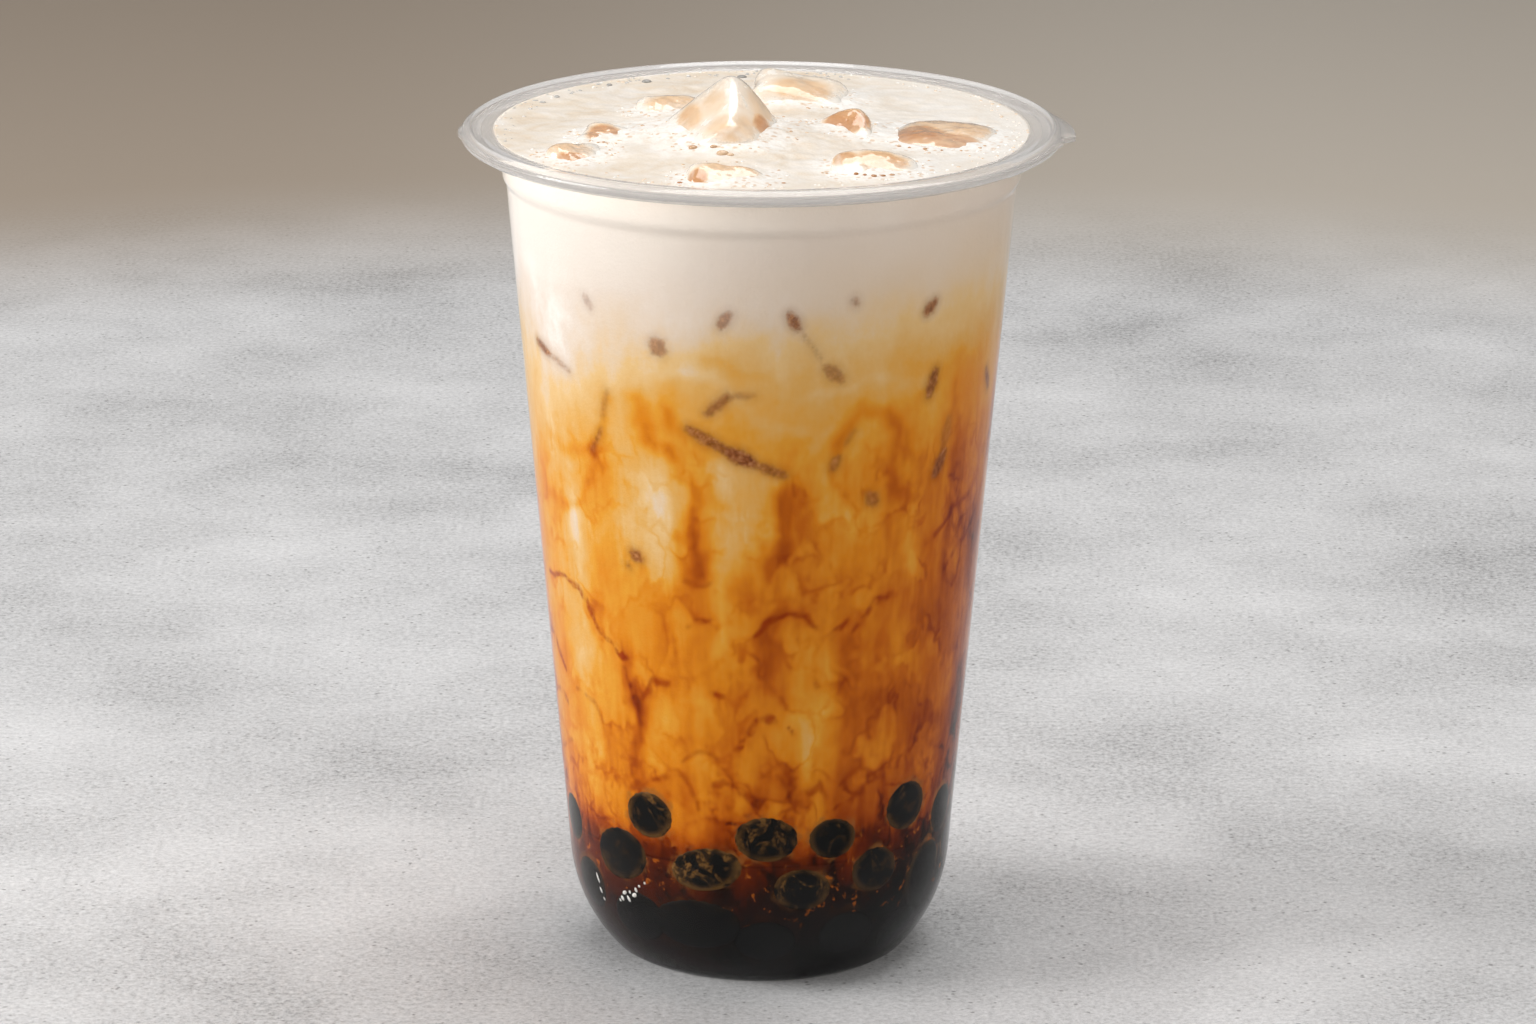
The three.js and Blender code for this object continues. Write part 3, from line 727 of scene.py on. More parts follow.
def with_ice_marks(g, colour):
    """The colour with the ragged brown strokes of sunk ice over it, each in a soft shade."""
    gap = g.attribute("mark_gap")
    depth = g.attribute("mark_depth")
    shade = g.times(g.span(gap, 1.8, -0.2), depth, 0.6)
    colour = g.mix(shade, colour, g.mix(1.0, colour, (206, 188, 176), "MULTIPLY"))
    grain = g.centred(g.noise(0.8, detail=4, rough=0.7))
    mark = g.times(g.span(g.plus(gap, grain, 1.1), 0.60, -0.45), depth)
    bark = g.ramp(g.noise(0.9, detail=4, rough=0.7), [
        (0.34, 112, 60, 30), (0.52, 152, 90, 50), (0.70, 196, 138, 90),
    ])
    return g.mix(mark, colour, bark)


def with_syrup(g, colour, fine):
    """The colour with a tan film round the pearls, and painted amber glints of light in the syrup over it."""
    height = g.axis(2)
    gap = g.plus(g.attribute("pearl_gap"), g.centred(fine), 3.0)
    patchy = g.span(g.noise(4, detail=2), 0.44, 0.60, 0.05, 1.0)
    film = g.times(g.span(gap, 1.0, 0.1), patchy, g.span(height, *FILM_STARTS), 0.65)
    colour = g.mix(film, colour, (150, 96, 44))
    # painted light: amber glints in the syrup
    amber_glint = g.span(g.noise(1.7, g.warp(3, 3), detail=3, rough=0.6), 0.60, 0.68)
    amber_glint = g.times(amber_glint, g.span(height, *AMBER_GLINTS_START), g.span(height, *AMBER_GLINTS_END), 0.7)
    return g.mix(amber_glint, colour, (188, 98, 24))


def drink_material():
    """Milk swirling down into caramel tea, with veins, sunk ice at the wall, and syrup round the pearls."""
    g = Graph("milk_tea")
    fine = g.noise(1.5, detail=4, rough=0.6)
    vein_gap = g.plus(g.attribute("vein_gap"), g.centred(fine), 0.9)
    vein_depth = g.attribute("vein_depth")
    near_vein = g.times(g.span(vein_gap, 2.4, 0.0), vein_depth)
    tea = g.plus(tea_share(g, fine), near_vein, 0.045)
    colour = g.ramp(tea, [
        (0.00, 252, 247, 240), (0.06, 238, 224, 211), (0.12, 234, 213, 189),
        (0.20, 236, 200, 142), (0.30, 232, 182, 104), (0.40, 232, 164, 56),
        (0.50, 226, 140, 28), (0.60, 202, 106, 16), (0.70, 160, 68, 8),
        (0.80, 98, 32, 6), (0.90, 38, 14, 8), (1.00, 8, 6, 5),
    ])
    colour = with_veins(g, colour, vein_gap, vein_depth)
    colour = with_syrup(g, with_ice_marks(g, colour), fine)
    foam = g.attribute("foam")
    relief = g.plus(g.plus(fine, g.cells(0.55), 0.5), g.attribute("froth"), g.cells(1.1))
    return g.finish(g.principled(
        Base_Color=g.mix(foam, colour, foam_colour(g)), Roughness=0.32, IOR=1.36,
        Specular_IOR_Level=g.times(foam, 0.4), Normal=g.bump(relief, 0.22, 0.24),
    ))


def foam_colour(g):
    """Creamy foam, with painted light whitening it towards the right, and a lace of bubbles at the foot of
    the ice.
    """
    mottle = g.noise(6, detail=5, rough=0.62, distort=0.8)
    base = g.ramp(mottle, [
        (0.30, 222, 202, 178), (0.46, 228, 215, 198), (0.60, 233, 223, 211),
        (0.75, 238, 233, 226),
    ])
    # painted light: the foam is whitened towards the right
    painted_light_right = g.times(g.span(g.axis(0), 0.004, 0.036), 0.55)
    base = g.mix(painted_light_right, base, (238, 233, 226))
    specks = g.times(g.span(g.cells(0.75), 0.22, 0.08), g.span(mottle, 0.42, 0.60, 0.30, 0.05))
    base = g.mix(specks, base, (206, 172, 134))
    froth = g.attribute("froth")
    fibre = g.noise(1.3, g.warp(3, 3), detail=4, rough=0.7)
    lace = g.times(froth, g.span(fibre, 0.38, 0.56, 0.35, 1.0), 0.85)
    base = g.mix(lace, base, (250, 247, 242))
    holes = g.times(g.span(g.cells(1.5, g.warp(2, 1.2)), 0.34, 0.16), g.span(froth, 0.25, 0.8), 0.60)
    return g.mix(holes, base, (206, 164, 120))


def pearl_material():
    """Nearly black tapioca, some of it hazed and specked with gold where milk clings."""
    g = Graph("tapioca")
    blotch = g.noise(3.6, detail=5, rough=0.62, distort=1.2)
    speck = g.span(g.noise(0.7, detail=2, rough=0.6), 0.38, 0.60, 0.15, 1.0)
    haze = g.times(g.span(blotch, 0.50, 0.60), g.attribute("gold"), speck)
    rim = g.times(g.attribute("rim"), g.span(g.noise(3.4, detail=3), 0.38, 0.56), 0.6)
    gold = g.times(g.math("MAXIMUM", haze, rim), g.span(g.axis(2), *GOLD_STARTS), 0.8)
    body = g.ramp(g.noise(5, detail=3), [(0.35, 5, 5, 5), (0.65, 14, 14, 14)])
    return g.finish(g.principled(
        Base_Color=g.mix(gold, body, (148, 104, 50)), Roughness=0.3, IOR=1.4,
        Specular_IOR_Level=0.08, Normal=g.bump(blotch, 0.1, 0.1),
    ))


def ice_material():
    """Wet ice filmed with foam: clear windows show tan tea through it, and a painted highlight whitens the
    ridges.
    """
    g = Graph("filmed_ice")
    mottle = g.noise(5, detail=3, rough=0.5, distort=0.8)
    fine = g.noise(1.1, detail=4, rough=0.65)
    streak = g.noise(2.2, g.warp(5, 4, g.stretch((1, 1, 0.5))), detail=4, rough=0.6)
    window = g.attribute("window")
    clear = g.ramp(g.plus(window, g.centred(mottle), 0.7), [
        (0.00, 242, 230, 214), (0.30, 236, 214, 188), (0.55, 230, 196, 158),
        (0.80, 217, 172, 127), (1.00, 196, 141, 94),
    ])
    edge = g.math("MULTIPLY_ADD", g.centred(streak), 1.1, 0.5)
    film = g.span(g.math("SUBTRACT", edge, g.math("MULTIPLY_ADD", window, 0.62, 0.06)), 0.42, 0.62)
    foot = g.span(g.plus(g.attribute("above"), g.centred(fine), 2.2), 1.0, 0.1)
    foot = g.times(foot, g.math("SUBTRACT", 1.0, g.times(window, 0.9)))
    film = g.math("MAXIMUM", film, foot)
    colour = g.mix(g.times(film, 0.80), clear, (244, 238, 229))
    # painted highlight: a broken white line along the block's ridges
    line = g.times(g.attribute("ridge"), g.span(fine, 0.35, 0.55, 0.4, 1.0), 0.7)
    skin = g.principled(
        Base_Color=g.mix(line, colour, (252, 250, 246)), Roughness=g.span(film, 0, 1, 0.08, 0.40),
        IOR=1.31, Transmission_Weight=g.span(film, 0, 1, 0.30, 0.0),
        Coat_Weight=1.0, Coat_Roughness=0.04, Normal=g.bump(streak, 0.20, 0.30),
    )
    lets_light_by = g.times(g.node("ShaderNodeLightPath").outputs["Is Shadow Ray"], 0.75)
    clear_way = g.node("ShaderNodeBsdfTransparent").outputs[0]
    return g.finish(g.blend(lets_light_by, skin, clear_way))


def bubble_material():
    """Bubbles by their stored tone: 0 grey, 0.33 white, 0.66 beige, 1 brown."""
    g = Graph("foam_bubbles")
    colour = g.ramp(g.attribute("tone"), [
        (0.00, 150, 147, 142), (0.33, 250, 247, 242), (0.66, 228, 200, 168),
        (1.00, 170, 114, 66),
    ])
    return g.finish(g.principled(
        Base_Color=colour, Roughness=0.08, IOR=1.33, Coat_Weight=0.5, Normal=g.bump(g.noise(0.6), 0.1, 0.05),
    ))


def floor_material():
    """Pale fine concrete, with small pits, warmer and darker far from the cup."""
    g = Graph("pale_floor")
    grain = g.noise(1.1, detail=5, rough=0.85)
    tone = g.plus(g.times(grain, 0.65), g.noise(60, detail=5, rough=0.6), 0.35)
    colour = g.ramp(tone, [
        (0.36, 140, 139, 139), (0.46, 190, 189, 189), (0.54, 208, 207, 207),
        (0.64, 226, 225, 225),
    ])
    pits = g.span(g.cells(1.9, g.warp(2, 1)), 0.24, 0.08)
    pits = g.times(pits, g.span(g.noise(9, detail=3), 0.44, 0.60), 0.65)
    colour = g.mix(pits, colour, (104, 102, 101))
    away = g.node("ShaderNodeVectorMath", operation="LENGTH")
    g.feed(away.inputs[0], g.place)
    side = g.span(g.axis(0), *GROUND_FROM_LEFT_TO_RIGHT)
    beyond = g.mix(side, (166, 151, 135), (190, 180, 167))
    colour = g.mix(g.span(away.outputs["Value"], *FLOOR_ENDS), colour, beyond)
    return g.finish(g.principled(Base_Color=colour, Roughness=0.8, Normal=g.bump(grain, 0.35, 0.4)))


# Pieces


def rim_reach(degrees):
    """How far the tab, its nub and the nib stand out of the rim at an angle."""
    reach = 0.0
    if TAB_END <= degrees <= TAB_START:
        reach = TAB_REACH * math.sin((TAB_START - degrees) / (TAB_START - TAB_END) * math.pi / 2)
    reach += NUB_REACH * math.exp(-((degrees - NUB_ANGLE) / NUB_WIDTH) ** 2)
    return reach + NIB_REACH * math.exp(-(turned(degrees, NIB_ANGLE) / NIB_WIDTH) ** 4)


def make_cup(material):
    """The cup as one closed lathe form, with the tab, the nub and the nib drawn out of its bead."""
    foot_inner = FOOT_RADIUS - FOOT_WIDTH
    foot_middle = (foot_inner + FOOT_RADIUS) / 2
    foot = [(0, FOOT_HEIGHT), (foot_inner - FOOT_HEIGHT, FOOT_HEIGHT)]
    foot += arc(foot_middle, FOOT_HEIGHT, FOOT_HEIGHT, math.pi, FOOT_END, FOOT_STEPS)
    outside = wall_profile(0, FOOT_HEIGHT, HEEL_STEPS, LIP_STEPS)
    inside = wall_profile(WALL, FOOT_HEIGHT + WALL, HEEL_STEPS, INNER_LIP_STEPS)[::-1]
    edge = BEAD_DEPTH / 2
    bead = edge * BEAD_SHARE
    lower = [(RIM_RADIUS - BEAD_WIDTH, FLANGE_TOP - WALL), (RIM_RADIUS - edge, CUP_HEIGHT - BEAD_DEPTH)]
    outer = arc(RIM_RADIUS - bead, CUP_HEIGHT - edge, bead, -BEAD_END, BEAD_END, BEAD_STEPS)
    upper = [
        (RIM_RADIUS - edge, CUP_HEIGHT), (RIM_RADIUS - BEAD_WIDTH + BEAD_RISE, CUP_HEIGHT),
        (RIM_RADIUS - BEAD_WIDTH, FLANGE_TOP),
    ]
    profile = foot + outside + lower + outer + upper + inside + [(0, FOOT_HEIGHT + WALL)]
    step = [math.radians(TAB_END - TAB_STEP), math.radians(TAB_END)]
    angles = sorted(even_angles(CUP_SIDES) + [a % (2 * math.pi) for a in step])
    points, faces, rows = revolve(profile, angles)
    bead_start = len(foot) + len(outside) + len(lower) - 1
    for i in np.flatnonzero(np.isin(rows, [bead_start + k for k in TAB_ROWS])):
        x, y, _ = points[i]
        points[i, :2] *= 1 + rim_reach(math.degrees(math.atan2(y, x))) / math.hypot(x, y)
    piece = make_mesh("clear_cup", points, faces, material)
    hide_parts("cup")


def set_attribute(piece, name, values):
    """Stores a value on each of the piece's points, for its material to read."""
    layer = piece.data.attributes.new(name, "FLOAT", "POINT")
    layer.data.foreach_set("value", np.asarray(values, np.float32))


def pearl_gap(points):
    """How far each point is from the edge of the nearest pearl's disc on the wall, in millimetres."""
    best = np.full(len(points), 9.0)
    for angle, height, radius, wide, tall, lean, _ in PEARLS:
        away = float(wall_radius(height, PEARL_INSET))
        around = np.array([-math.sin(angle), math.cos(angle), 0.0])
        offset = points - (away * math.cos(angle), away * math.sin(angle), height)
        across, up = offset @ around, offset[:, 2]
        sideways = across * math.cos(lean) + up * math.sin(lean)
        raised = up * math.cos(lean) - across * math.sin(lean)
        through = offset @ np.array([math.cos(angle), math.sin(angle), 0.0])
        share = np.sqrt((sideways / wide) ** 2 + (raised / tall) ** 2 + (through / radius) ** 2 / 4)
        best = np.minimum(best, (share - PEARL_DISC) * min(wide, tall))
    return best


def line_gap(line, wall):
    """How far each place of the wall is from a line through angles and heights, in millimetres.

    Gives too how far along its last part the nearest place is, from 0 to 1."""
    degrees, height, radius = wall
    best, along = np.full(len(height), 99.0), np.zeros(len(height))
    for (a0, z0), (a1, z1) in zip(line, line[1:]):
        run = math.radians(a1 - a0) * radius
        climb = z1 - z0
        across = np.radians(turned(degrees, a0)) * radius
        share = np.clip((across * run + (height - z0) * climb) / (run ** 2 + climb ** 2), 0, 1)
        gap = np.hypot(across - share * run, height - z0 - share * climb)
        along = np.where(gap < best, share, along)
        best = np.minimum(best, gap)
    return best, along


def marbling_round_the_back():
    """Splashes and veins for the sides and the back, like those at the front."""
    draw = random.Random(MARBLING_SEED)
    splashes, veins = [], []
    for _ in range(BACK_SPLASHES):
        tone = draw.choice((-0.14, -0.11, -0.08, 0.09, 0.13))
        tall = draw.uniform(4, 9) if tone < 0 else draw.uniform(6, 14)
        wide = draw.uniform(2.0, 4.6) if tone < 0 else draw.uniform(1.5, 2.8)
        angle, height = draw.uniform(-8, 190), draw.uniform(36, 96)
        splashes.append((angle, height, wide, tall, draw.uniform(-0.1, 0.1), tone))
    for _ in range(BACK_VEINS):
        angle, height = draw.uniform(-5, 188), draw.uniform(33, 82)
        slope, bow = draw.uniform(-2, 2), draw.uniform(-1, 3)
        line = [(angle + 4.5 * k, height + slope * k + bow * math.sin(math.pi * k / 3)) for k in range(4)]
        veins.append((draw.uniform(0.25, 0.5), draw.uniform(0.4, 0.8), line))
    return splashes, veins


def stirred(points):
    """The points pushed about by broad and fine curls, so that what is listed gets wavy edges."""
    moved = np.empty_like(points)
    for i, point in enumerate(points):
        place = Vector(point)
        moved[i] = place
        for push, size in (BROAD_CURLS, FINE_CURLS):
            moved[i] += push * np.array(noise.noise_vector(place / size))
    return moved


def paint_tea(piece, points, wall, splashes):
    """Stores how much tea is in the milk: by height, more to the right as painted shade, then splashes and
    soft bands.
    """
    degrees, height, radius = wall
    heights, shares = zip(*TEA_AT_HEIGHT)
    tea = np.interp(height, heights, shares)
    # painted shade: more tea towards the right darkens the drink where less light falls
    side_shade = np.clip((SIDE_SHADE_TOP - height) / SIDE_SHADE_DEPTH, 0, 1)
    tea += PAINTED_SHADE_TO_THE_RIGHT * points[:, 0] / SIDE_RADIUS * side_shade
    for angle, at, wide, tall, lean, tone in splashes:
        across = np.radians(turned(degrees, angle)) * radius - lean * (height - at)
        off = np.abs(across / wide) ** SPLASH_POWER + np.abs((height - at) / tall) ** SPLASH_POWER
        tea += tone * np.exp(-off)
    for wide, tone, line in SWIRLS:
        gap, _ = line_gap(line, wall)
        tea += tone * np.exp(-(gap / wide) ** 2)
    set_attribute(piece, "tea", tea)


def paint_lines(piece, name, strokes):
    """Stores each point's gap to the nearest stroke, and that stroke's depth of colour."""
    nearest, depths = np.full(len(piece.data.vertices), LINE_REACH), np.zeros(len(piece.data.vertices))
    for gap, depth in strokes:
        nearer = gap < nearest
        nearest[nearer] = gap[nearer]
        depths[nearer] = depth
    set_attribute(piece, name + "_gap", nearest)
    set_attribute(piece, name + "_depth", depths)


def vein_strokes(veins, wall):
    for wide, depth, line in veins:
        gap, _ = line_gap(line, wall)
        yield gap - wide / 2, depth


def mark_strokes(wall):
    """The strokes of sunk ice, each widest at its middle."""
    for a0, z0, a1, z1, width, depth in ICE_MARKS:
        gap, along = line_gap([(a0, z0), (a1, z1)], wall)
        yield gap - width / 2 * (0.62 + 0.38 * np.sin(math.pi * along)), depth


def paint_wall(piece, points):
    """Stores on the wall's points how much tea is in the milk, and where veins, ice and pearls are."""
    set_attribute(piece, "pearl_gap", np.clip(pearl_gap(points), -2, 9))
    moved = stirred(points)
    wall = wall_places(moved)
    more_splashes, more_veins = marbling_round_the_back()
    paint_tea(piece, points, wall, SPLASHES + more_splashes)
    paint_lines(piece, "vein", vein_strokes(VEINS + more_veins, wall))
    steady = wall_places(points + SHARE_FOR_ICE * (moved - points))
    paint_lines(piece, "mark", mark_strokes(steady))


def surface_relief(x, y):
    """Fine lumps of the foam, in millimetres."""
    relief = np.empty(len(x))
    for i, (u, v) in enumerate(zip(x, y)):
        place = Vector((u, v, 0))
        broad = BROAD_RELIEF[0] * noise.fractal(place / BROAD_RELIEF[1], 1.0, 2.0, 3)
        relief[i] = broad + FINE_RELIEF[0] * noise.fractal(place / FINE_RELIEF[1], 0.9, 2.0, 3)
    return relief


def gap_to_ice(piece, points):
    """Roughly how far points are outside a block of ice, in millimetres."""
    local = (points - np.array(piece.at) - (0, 0, DRINK_LEVEL)) @ np.array(ice_turn(piece))
    share = np.abs(local / piece.half) ** piece.square
    return (share.sum(1) ** (1 / piece.square) - 1) * np.mean(piece.half)


def froth_at(points):
    """How thick the froth is at the foot of the ice, 0 to 1."""
    froth = np.zeros(len(points))
    for piece in ICE:
        reach = FROTH_REACH * (1 + piece.rise / FROTH_WITH_RISE)
        gap = np.clip(gap_to_ice(piece, points), 0, None)
        froth = np.maximum(froth, np.exp(-(gap / reach) ** 2))
    return froth


def make_drink(material):
    """The milk tea from among the pearls up to its foam, which rises round the ice."""
    rise = np.arange(DRINK_BOTTOM, DRINK_LEVEL, ROW_STEP)
    side = [(float(wall_radius(z, DRINK_INSET)), float(z)) for z in rise]
    edge = float(wall_radius(DRINK_LEVEL, DRINK_INSET))
    rings = int(edge / RING_STEP)
    top = [(edge * (1 - i / rings), DRINK_LEVEL) for i in range(rings)]
    profile = [(0, DRINK_BOTTOM)] + side + top + [(0, DRINK_LEVEL)]
    points, faces, _ = revolve(profile, even_angles(DRINK_SIDES))
    away = np.hypot(points[:, 0], points[:, 1])
    upper = np.flatnonzero(points[:, 2] > DRINK_LEVEL - 1e-6)
    x, y = points[upper, 0], points[upper, 1]
    calm = 1 - np.clip(away[upper] / edge, 0, 1) ** RELIEF_START
    points[upper, 2] += (foam_height(x, y) + surface_relief(x, y)) * calm
    foam, froth = np.zeros(len(points)), np.zeros(len(points))
    foam[upper] = np.clip((edge + FOAM_PAST_WALL - away[upper]) / FOAM_EDGE, 0, 1)
    froth[upper] = froth_at(points[upper])
    made = make_mesh("milk_tea", points, faces, material)
    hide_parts("drink")
    paint_wall(made, points)
    set_attribute(made, "foam", foam)
    set_attribute(made, "froth", froth)
    return made


def make_syrup(material):
    """The syrup among the pearls, from the cup's floor up to the drink's lower end."""
    floor = FOOT_HEIGHT + WALL - SYRUP_SINK
    heel_start = heel_floor_angle(SYRUP_INSET, floor)
    heel = arc(HEEL_CENTRE_R, HEEL_CENTRE_Z, HEEL_ROUND - SYRUP_INSET, heel_start, -TAPER, SYRUP_HEEL_STEPS)
    rise = np.arange(heel[-1][1] + ROW_STEP, SYRUP_TOP, ROW_STEP)
    side = [(float(wall_radius(z, SYRUP_INSET)), float(z)) for z in rise]
    profile = [(0, floor)] + heel + side + [(0, SYRUP_TOP - ROW_STEP)]
    points, faces, _ = revolve(profile, even_angles(DRINK_SIDES))
    piece = make_mesh("syrup", points, faces, material)
    paint_wall(piece, points)
    for name in ("foam", "froth"):
        set_attribute(piece, name, np.zeros(len(points)))


def ball(detail):
    """A unit ball of triangles."""
    made = bmesh.new()
    bmesh.ops.create_icosphere(made, subdivisions=detail, radius=1.0)
    points = np.array([v.co[:] for v in made.verts])
    faces = [tuple(v.index for v in f.verts) for f in made.faces]
    made.free()
    return points, faces


def joined(parts):
    """Several shapes' points and faces as one."""
    points, faces, count = [], [], 0
    for part_points, part_faces in parts:
        points.append(part_points)
        faces += [tuple(i + count for i in f) for f in part_faces]
        count += len(part_points)
    return np.vstack(points), faces


def press_to_wall(points, inset):
    """Points that lie past the wall's inner side are brought back to it."""
    away = np.hypot(points[:, 0], points[:, 1])
    limit = wall_radius(points[:, 2], inset)
    scale = np.minimum(1, limit / np.maximum(away, 1e-6))
    points[:, 0] *= scale
    points[:, 1] *= scale
    return points


def make_pearls(material):
    """Pearls pressed to the wall, each with its own share of gold haze, on a core that fills the heap."""
    unit, unit_faces = ball(4)
    parts, haze, rim = [], [], []
    for angle, height, radius, wide, tall, lean, gold in PEARLS:
        turn = Euler((lean, 0, angle)).to_matrix()
        away = float(wall_radius(height, PEARL_INSET)) - radius * PEARL_PRESS
        centre = (away * math.cos(angle), away * math.sin(angle), height)
        placed = (unit * (radius, wide, tall)) @ np.array(turn).T + centre
        parts.append((press_to_wall(placed, PEARL_INSET), unit_faces))
        haze.append(gold * np.clip(0.75 + 0.5 * unit[:, 2] - 0.3 * unit[:, 1], 0, 1))
        off_middle = np.hypot(unit[:, 1], unit[:, 2]) / PEARL_DISC
        rim.append(np.clip((off_middle - 0.78) / 0.20, 0, 1) * (0.35 + 0.65 * gold))
    core, core_faces, _ = revolve(HEAP_PROFILE, even_angles(CORE_SIDES))
    parts.append((core, core_faces))
    haze.append(np.zeros(len(core)))
    rim.append(np.zeros(len(core)))
    points, faces = joined(parts)
    piece = make_mesh("tapioca_pearls", points, faces, material)
    set_attribute(piece, "gold", np.concatenate(haze))
    set_attribute(piece, "rim", np.concatenate(rim))
    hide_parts("pearls")


def block_grid():
    """Unit directions through a cube's grid, and the faces between them."""
    side = np.linspace(-1, 1, ICE_SIDES + 1)
    index, ways, faces = {}, [], []

    def corner(u, v, axis, sign):
        point = [0.0, 0.0, 0.0]
        point[axis], point[(axis + 1) % 3], point[(axis + 2) % 3] = sign, u, v
        key = tuple(round(c, 5) for c in point)
        if key not in index:
            index[key] = len(ways)
            ways.append(point)
        return index[key]

    for axis in range(3):
        for sign in (-1, 1):
            for i in range(ICE_SIDES):
                for j in range(ICE_SIDES):
                    turns = ((i, j), (i + 1, j), (i + 1, j + 1), (i, j + 1))
                    quad = [corner(side[u], side[v], axis, sign) for u, v in turns]
                    faces.append(tuple(quad if sign > 0 else quad[::-1]))
    ways = np.array(ways)
    return ways / np.linalg.norm(ways, axis=1)[:, None], faces


def make_ice(piece, order, material):
    """A rounded block of ice with fine dents, in its node's place."""
    ways, faces = block_grid()
    reach = ice_reach(piece, order, ways)
    for i, way in enumerate(ways):
        reach[i] += ICE_ROUGH * noise.fractal(Vector(way) * ICE_LUMPS + Vector((order, 0, 0)), 1.0, 2.0, 3)
    local = ways * reach[:, None]
    points = local @ np.array(ice_turn(piece)).T + np.array(piece.at)
    made = make_mesh(piece.node + "_block", points + (0, 0, DRINK_LEVEL), faces, material)
    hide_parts(piece.node)
    near_edge = np.sort(np.abs(local) / piece.half, axis=1)[:, 1]
    window = np.zeros(len(points))
    for middle, spread, tone in WINDOWS:
        away = np.linalg.norm((points - middle) / spread, axis=1)
        window = np.maximum(window, tone * np.clip((WINDOW_REACH - away) / WINDOW_FADE, 0, 1))
    set_attribute(made, "ridge", np.clip((near_edge - RIDGE_START) / RIDGE_WIDTH, 0, 1))
    set_attribute(made, "window", window)
    set_attribute(made, "above", points[:, 2] - foam_height(points[:, 0], points[:, 1]))


def bubbles_by_the_ice(draw):
    """Small bubbles round the foot of each piece of ice: x, y, half width and tone."""
    for piece in ICE:
        for _ in range(BUBBLES_PER_ICE):
            turn = draw.uniform(0, 2 * math.pi)
            away = piece.half[0] * draw.uniform(0.95, 1.5)
            size = draw.uniform(*SMALL_BUBBLE)
            tone = draw.choice((0.33, 0.4, 0.66, 0.8))
            yield piece.at[0] + away * math.cos(turn), piece.at[1] + away * math.sin(turn), size, tone


def bubbles_by_the_wall(draw, edge):
    """Small bubbles in a band along the cup's wall, some of them grey at the back."""
    for _ in range(BUBBLES_AT_WALL):
        turn = draw.uniform(0, 2 * math.pi)
        away = edge - 0.4 - BUBBLE_BAND * draw.random() ** 1.6
        is_grey = GREY_BUBBLES[0] < turn < GREY_BUBBLES[1] and draw.random() < 0.6
        tone = 0.1 if is_grey else draw.choice((0.33, 0.45, 0.6))
        yield away * math.cos(turn), away * math.sin(turn), draw.uniform(*SMALL_BUBBLE), tone


def glints(unit):
    """The points of each glint, leaning a little along the wall."""
    for degrees, height, wide, tall in GLINTS:
        turn = math.radians(degrees)
        away = float(wall_radius(height, DRINK_INSET))
        around = np.array(Euler((GLINT_LEAN, 0, turn)).to_matrix())
        place = (away * math.cos(turn), away * math.sin(turn), height)
        yield (unit * (GLINT_DEPTH, wide, tall)) @ around.T + place


def make_bubbles(material, heights):
    """Bubbles in the foam, listed ones and ones along the ice and the wall, and the painted glints on the
    wall.
    """
    draw = random.Random(BUBBLE_SEED)
    unit, unit_faces = ball(2)
    edge = float(wall_radius(DRINK_LEVEL, DRINK_INSET))
    parts, tones = [], []
    for x, y, size, tone in chain(BUBBLES, bubbles_by_the_ice(draw), bubbles_by_the_wall(draw, edge)):
        if math.hypot(x, y) > edge - size - BUBBLE_CLEAR:
            continue
        wide = size * draw.uniform(0.85, 1.25)
        parts.append((unit * (wide, size, size * BUBBLE_FLATNESS) + (x, y, heights(x, y)), unit_faces))
        tones.append(np.full(len(unit), tone))
    # painted highlights: the glints are white blobs on the wall
    for points in glints(unit):
        parts.append((points, unit_faces))
        tones.append(np.full(len(unit), WHITE_TONE))
    points, faces = joined(parts)
    piece = make_mesh("bubbles", points, faces, material)
    set_attribute(piece, "tone", np.concatenate(tones))


def surface_lookup(piece):
    """A function that gives the drink's surface height at a place, in millimetres."""
    points = np.array([v.co[:] for v in piece.data.vertices]) / MM
    top = points[points[:, 2] > DRINK_LEVEL - 0.6]

    def height(x, y):
        near = np.argmin((top[:, 0] - x) ** 2 + (top[:, 1] - y) ** 2)
        return float(top[near, 2])

    return height


def make_floor():
    mesh = bpy.data.meshes.new("floor")
    corners = [(-FLOOR, -FLOOR, 0), (FLOOR, -FLOOR, 0), (FLOOR, FLOOR, 0), (-FLOOR, FLOOR, 0)]
    mesh.from_pydata(corners, [], [(0, 1, 2, 3)])
    floor = bpy.data.objects.new("floor", mesh)
    bpy.context.scene.collection.objects.link(floor)
    mesh.materials.append(floor_material())


# Camera and light

CAMERA_BACK = 1000.0
CAMERA_UP = 363.6
CAMERA_RIGHT = 1.2
CAMERA_PITCH = 16.27
CAMERA_ROLL = 0.2
FOCAL_PIXELS = 6492.0
PICTURE_WIDTH = 1536.0
SENSOR = 36.0


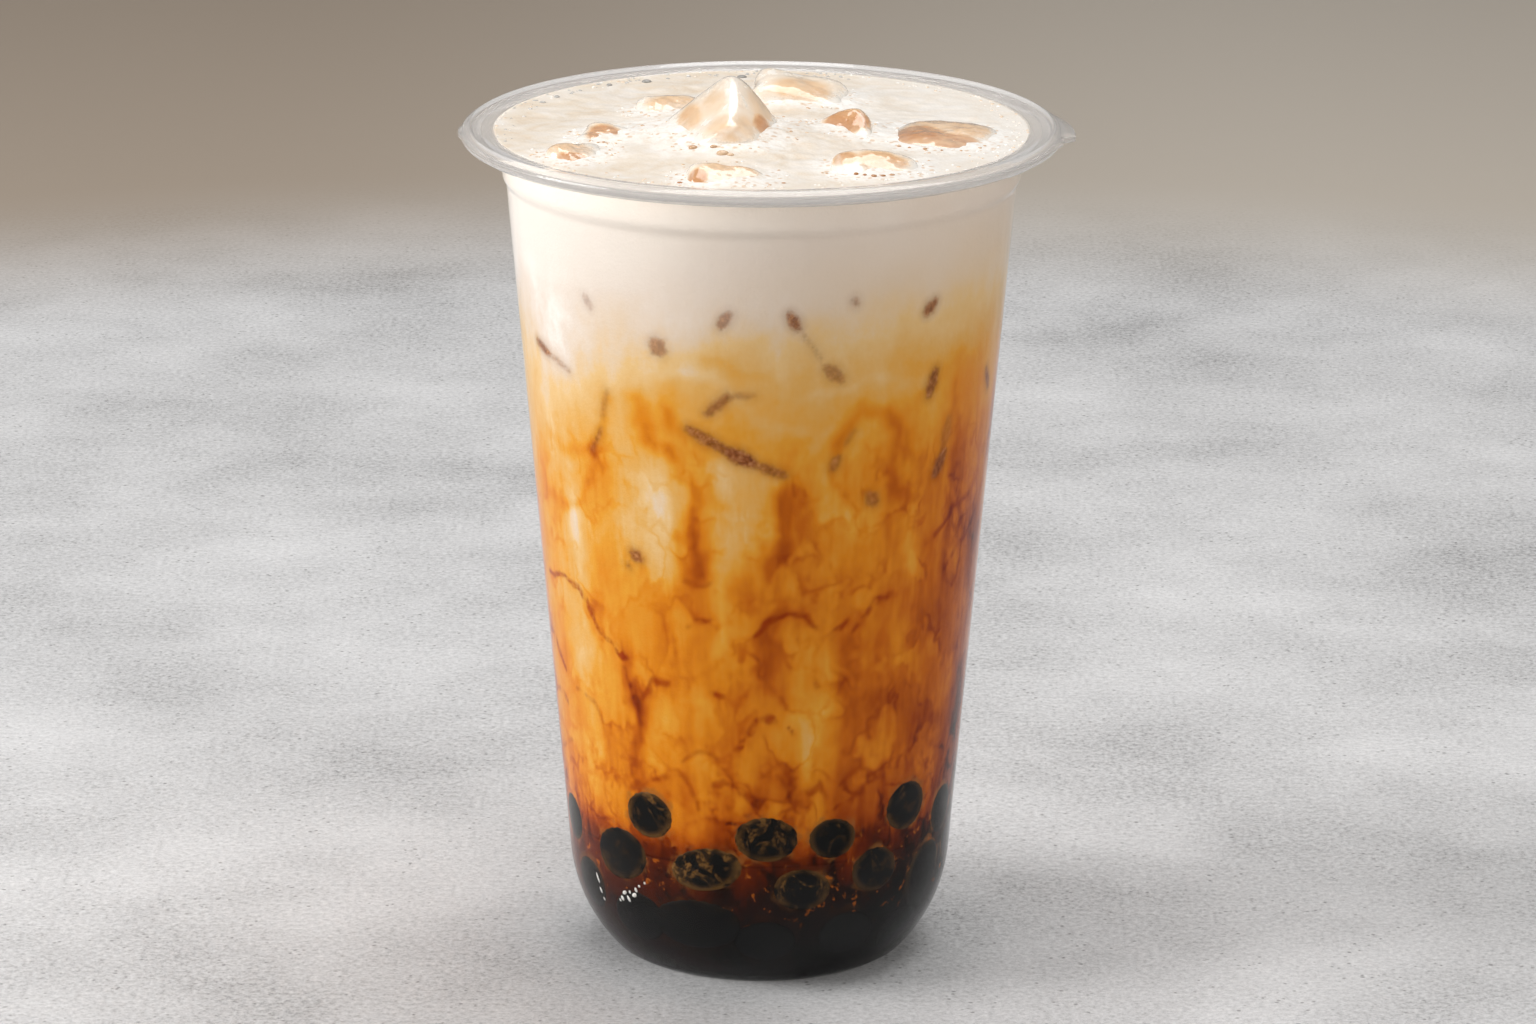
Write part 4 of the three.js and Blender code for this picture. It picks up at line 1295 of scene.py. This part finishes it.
def make_camera():
    data = bpy.data.cameras.new("camera")
    data.sensor_width = SENSOR
    data.lens = FOCAL_PIXELS / PICTURE_WIDTH * SENSOR
    data.clip_start = 0.05
    camera = bpy.data.objects.new("camera", data)
    bpy.context.scene.collection.objects.link(camera)
    camera.location = (CAMERA_RIGHT * MM, -CAMERA_BACK * MM, CAMERA_UP * MM)
    tilt = Matrix.Rotation(math.radians(90 - CAMERA_PITCH), 4, "X")
    roll = Matrix.Rotation(math.radians(CAMERA_ROLL), 4, "Z")
    camera.rotation_euler = (tilt @ roll).to_euler()
    bpy.context.scene.camera = camera


def area_light(name, place, target, size, power, colour=(1, 1, 1), glossy=True):
    data = bpy.data.lights.new(name, "AREA")
    data.shape = "RECTANGLE"
    data.size, data.size_y = size
    data.energy = power
    data.color = colour
    lamp = bpy.data.objects.new(name, data)
    bpy.context.scene.collection.objects.link(lamp)
    lamp.location = place
    lamp.visible_glossy = glossy
    lamp.visible_transmission = False
    way = Vector(target) - Vector(place)
    lamp.rotation_euler = way.to_track_quat("-Z", "Y").to_euler()


def make_light():
    target = (0, 0, 0.07)
    area_light("key", (-0.90, -0.15, 0.50), target, (0.5, 0.5), 7.7, (1.0, 1.0, 1.0))
    area_light("top", (0.10, 0.20, 0.95), target, (0.7, 0.7), 6.0)
    area_light("fill", (0.68, -0.96, 0.50), target, (0.9, 0.7), 5.4, (1.0, 0.98, 0.95), glossy=False)
    world = bpy.data.worlds.new("studio")
    bpy.context.scene.world = world
    world.use_nodes = True
    shade = world.node_tree.nodes["Background"]
    shade.inputs[0].default_value = (0.80, 0.80, 0.80, 1)
    shade.inputs[1].default_value = 0.28
    bpy.context.scene.view_settings.view_transform = "Standard"


make_camera()
make_light()
make_floor()
make_cup(cup_material())
liquid = drink_material()
drink = make_drink(liquid)
make_syrup(liquid)
make_pearls(pearl_material())
ice = ice_material()
for order, piece in enumerate(ICE):
    make_ice(piece, order, ice)
make_bubbles(bubble_material(), surface_lookup(drink))
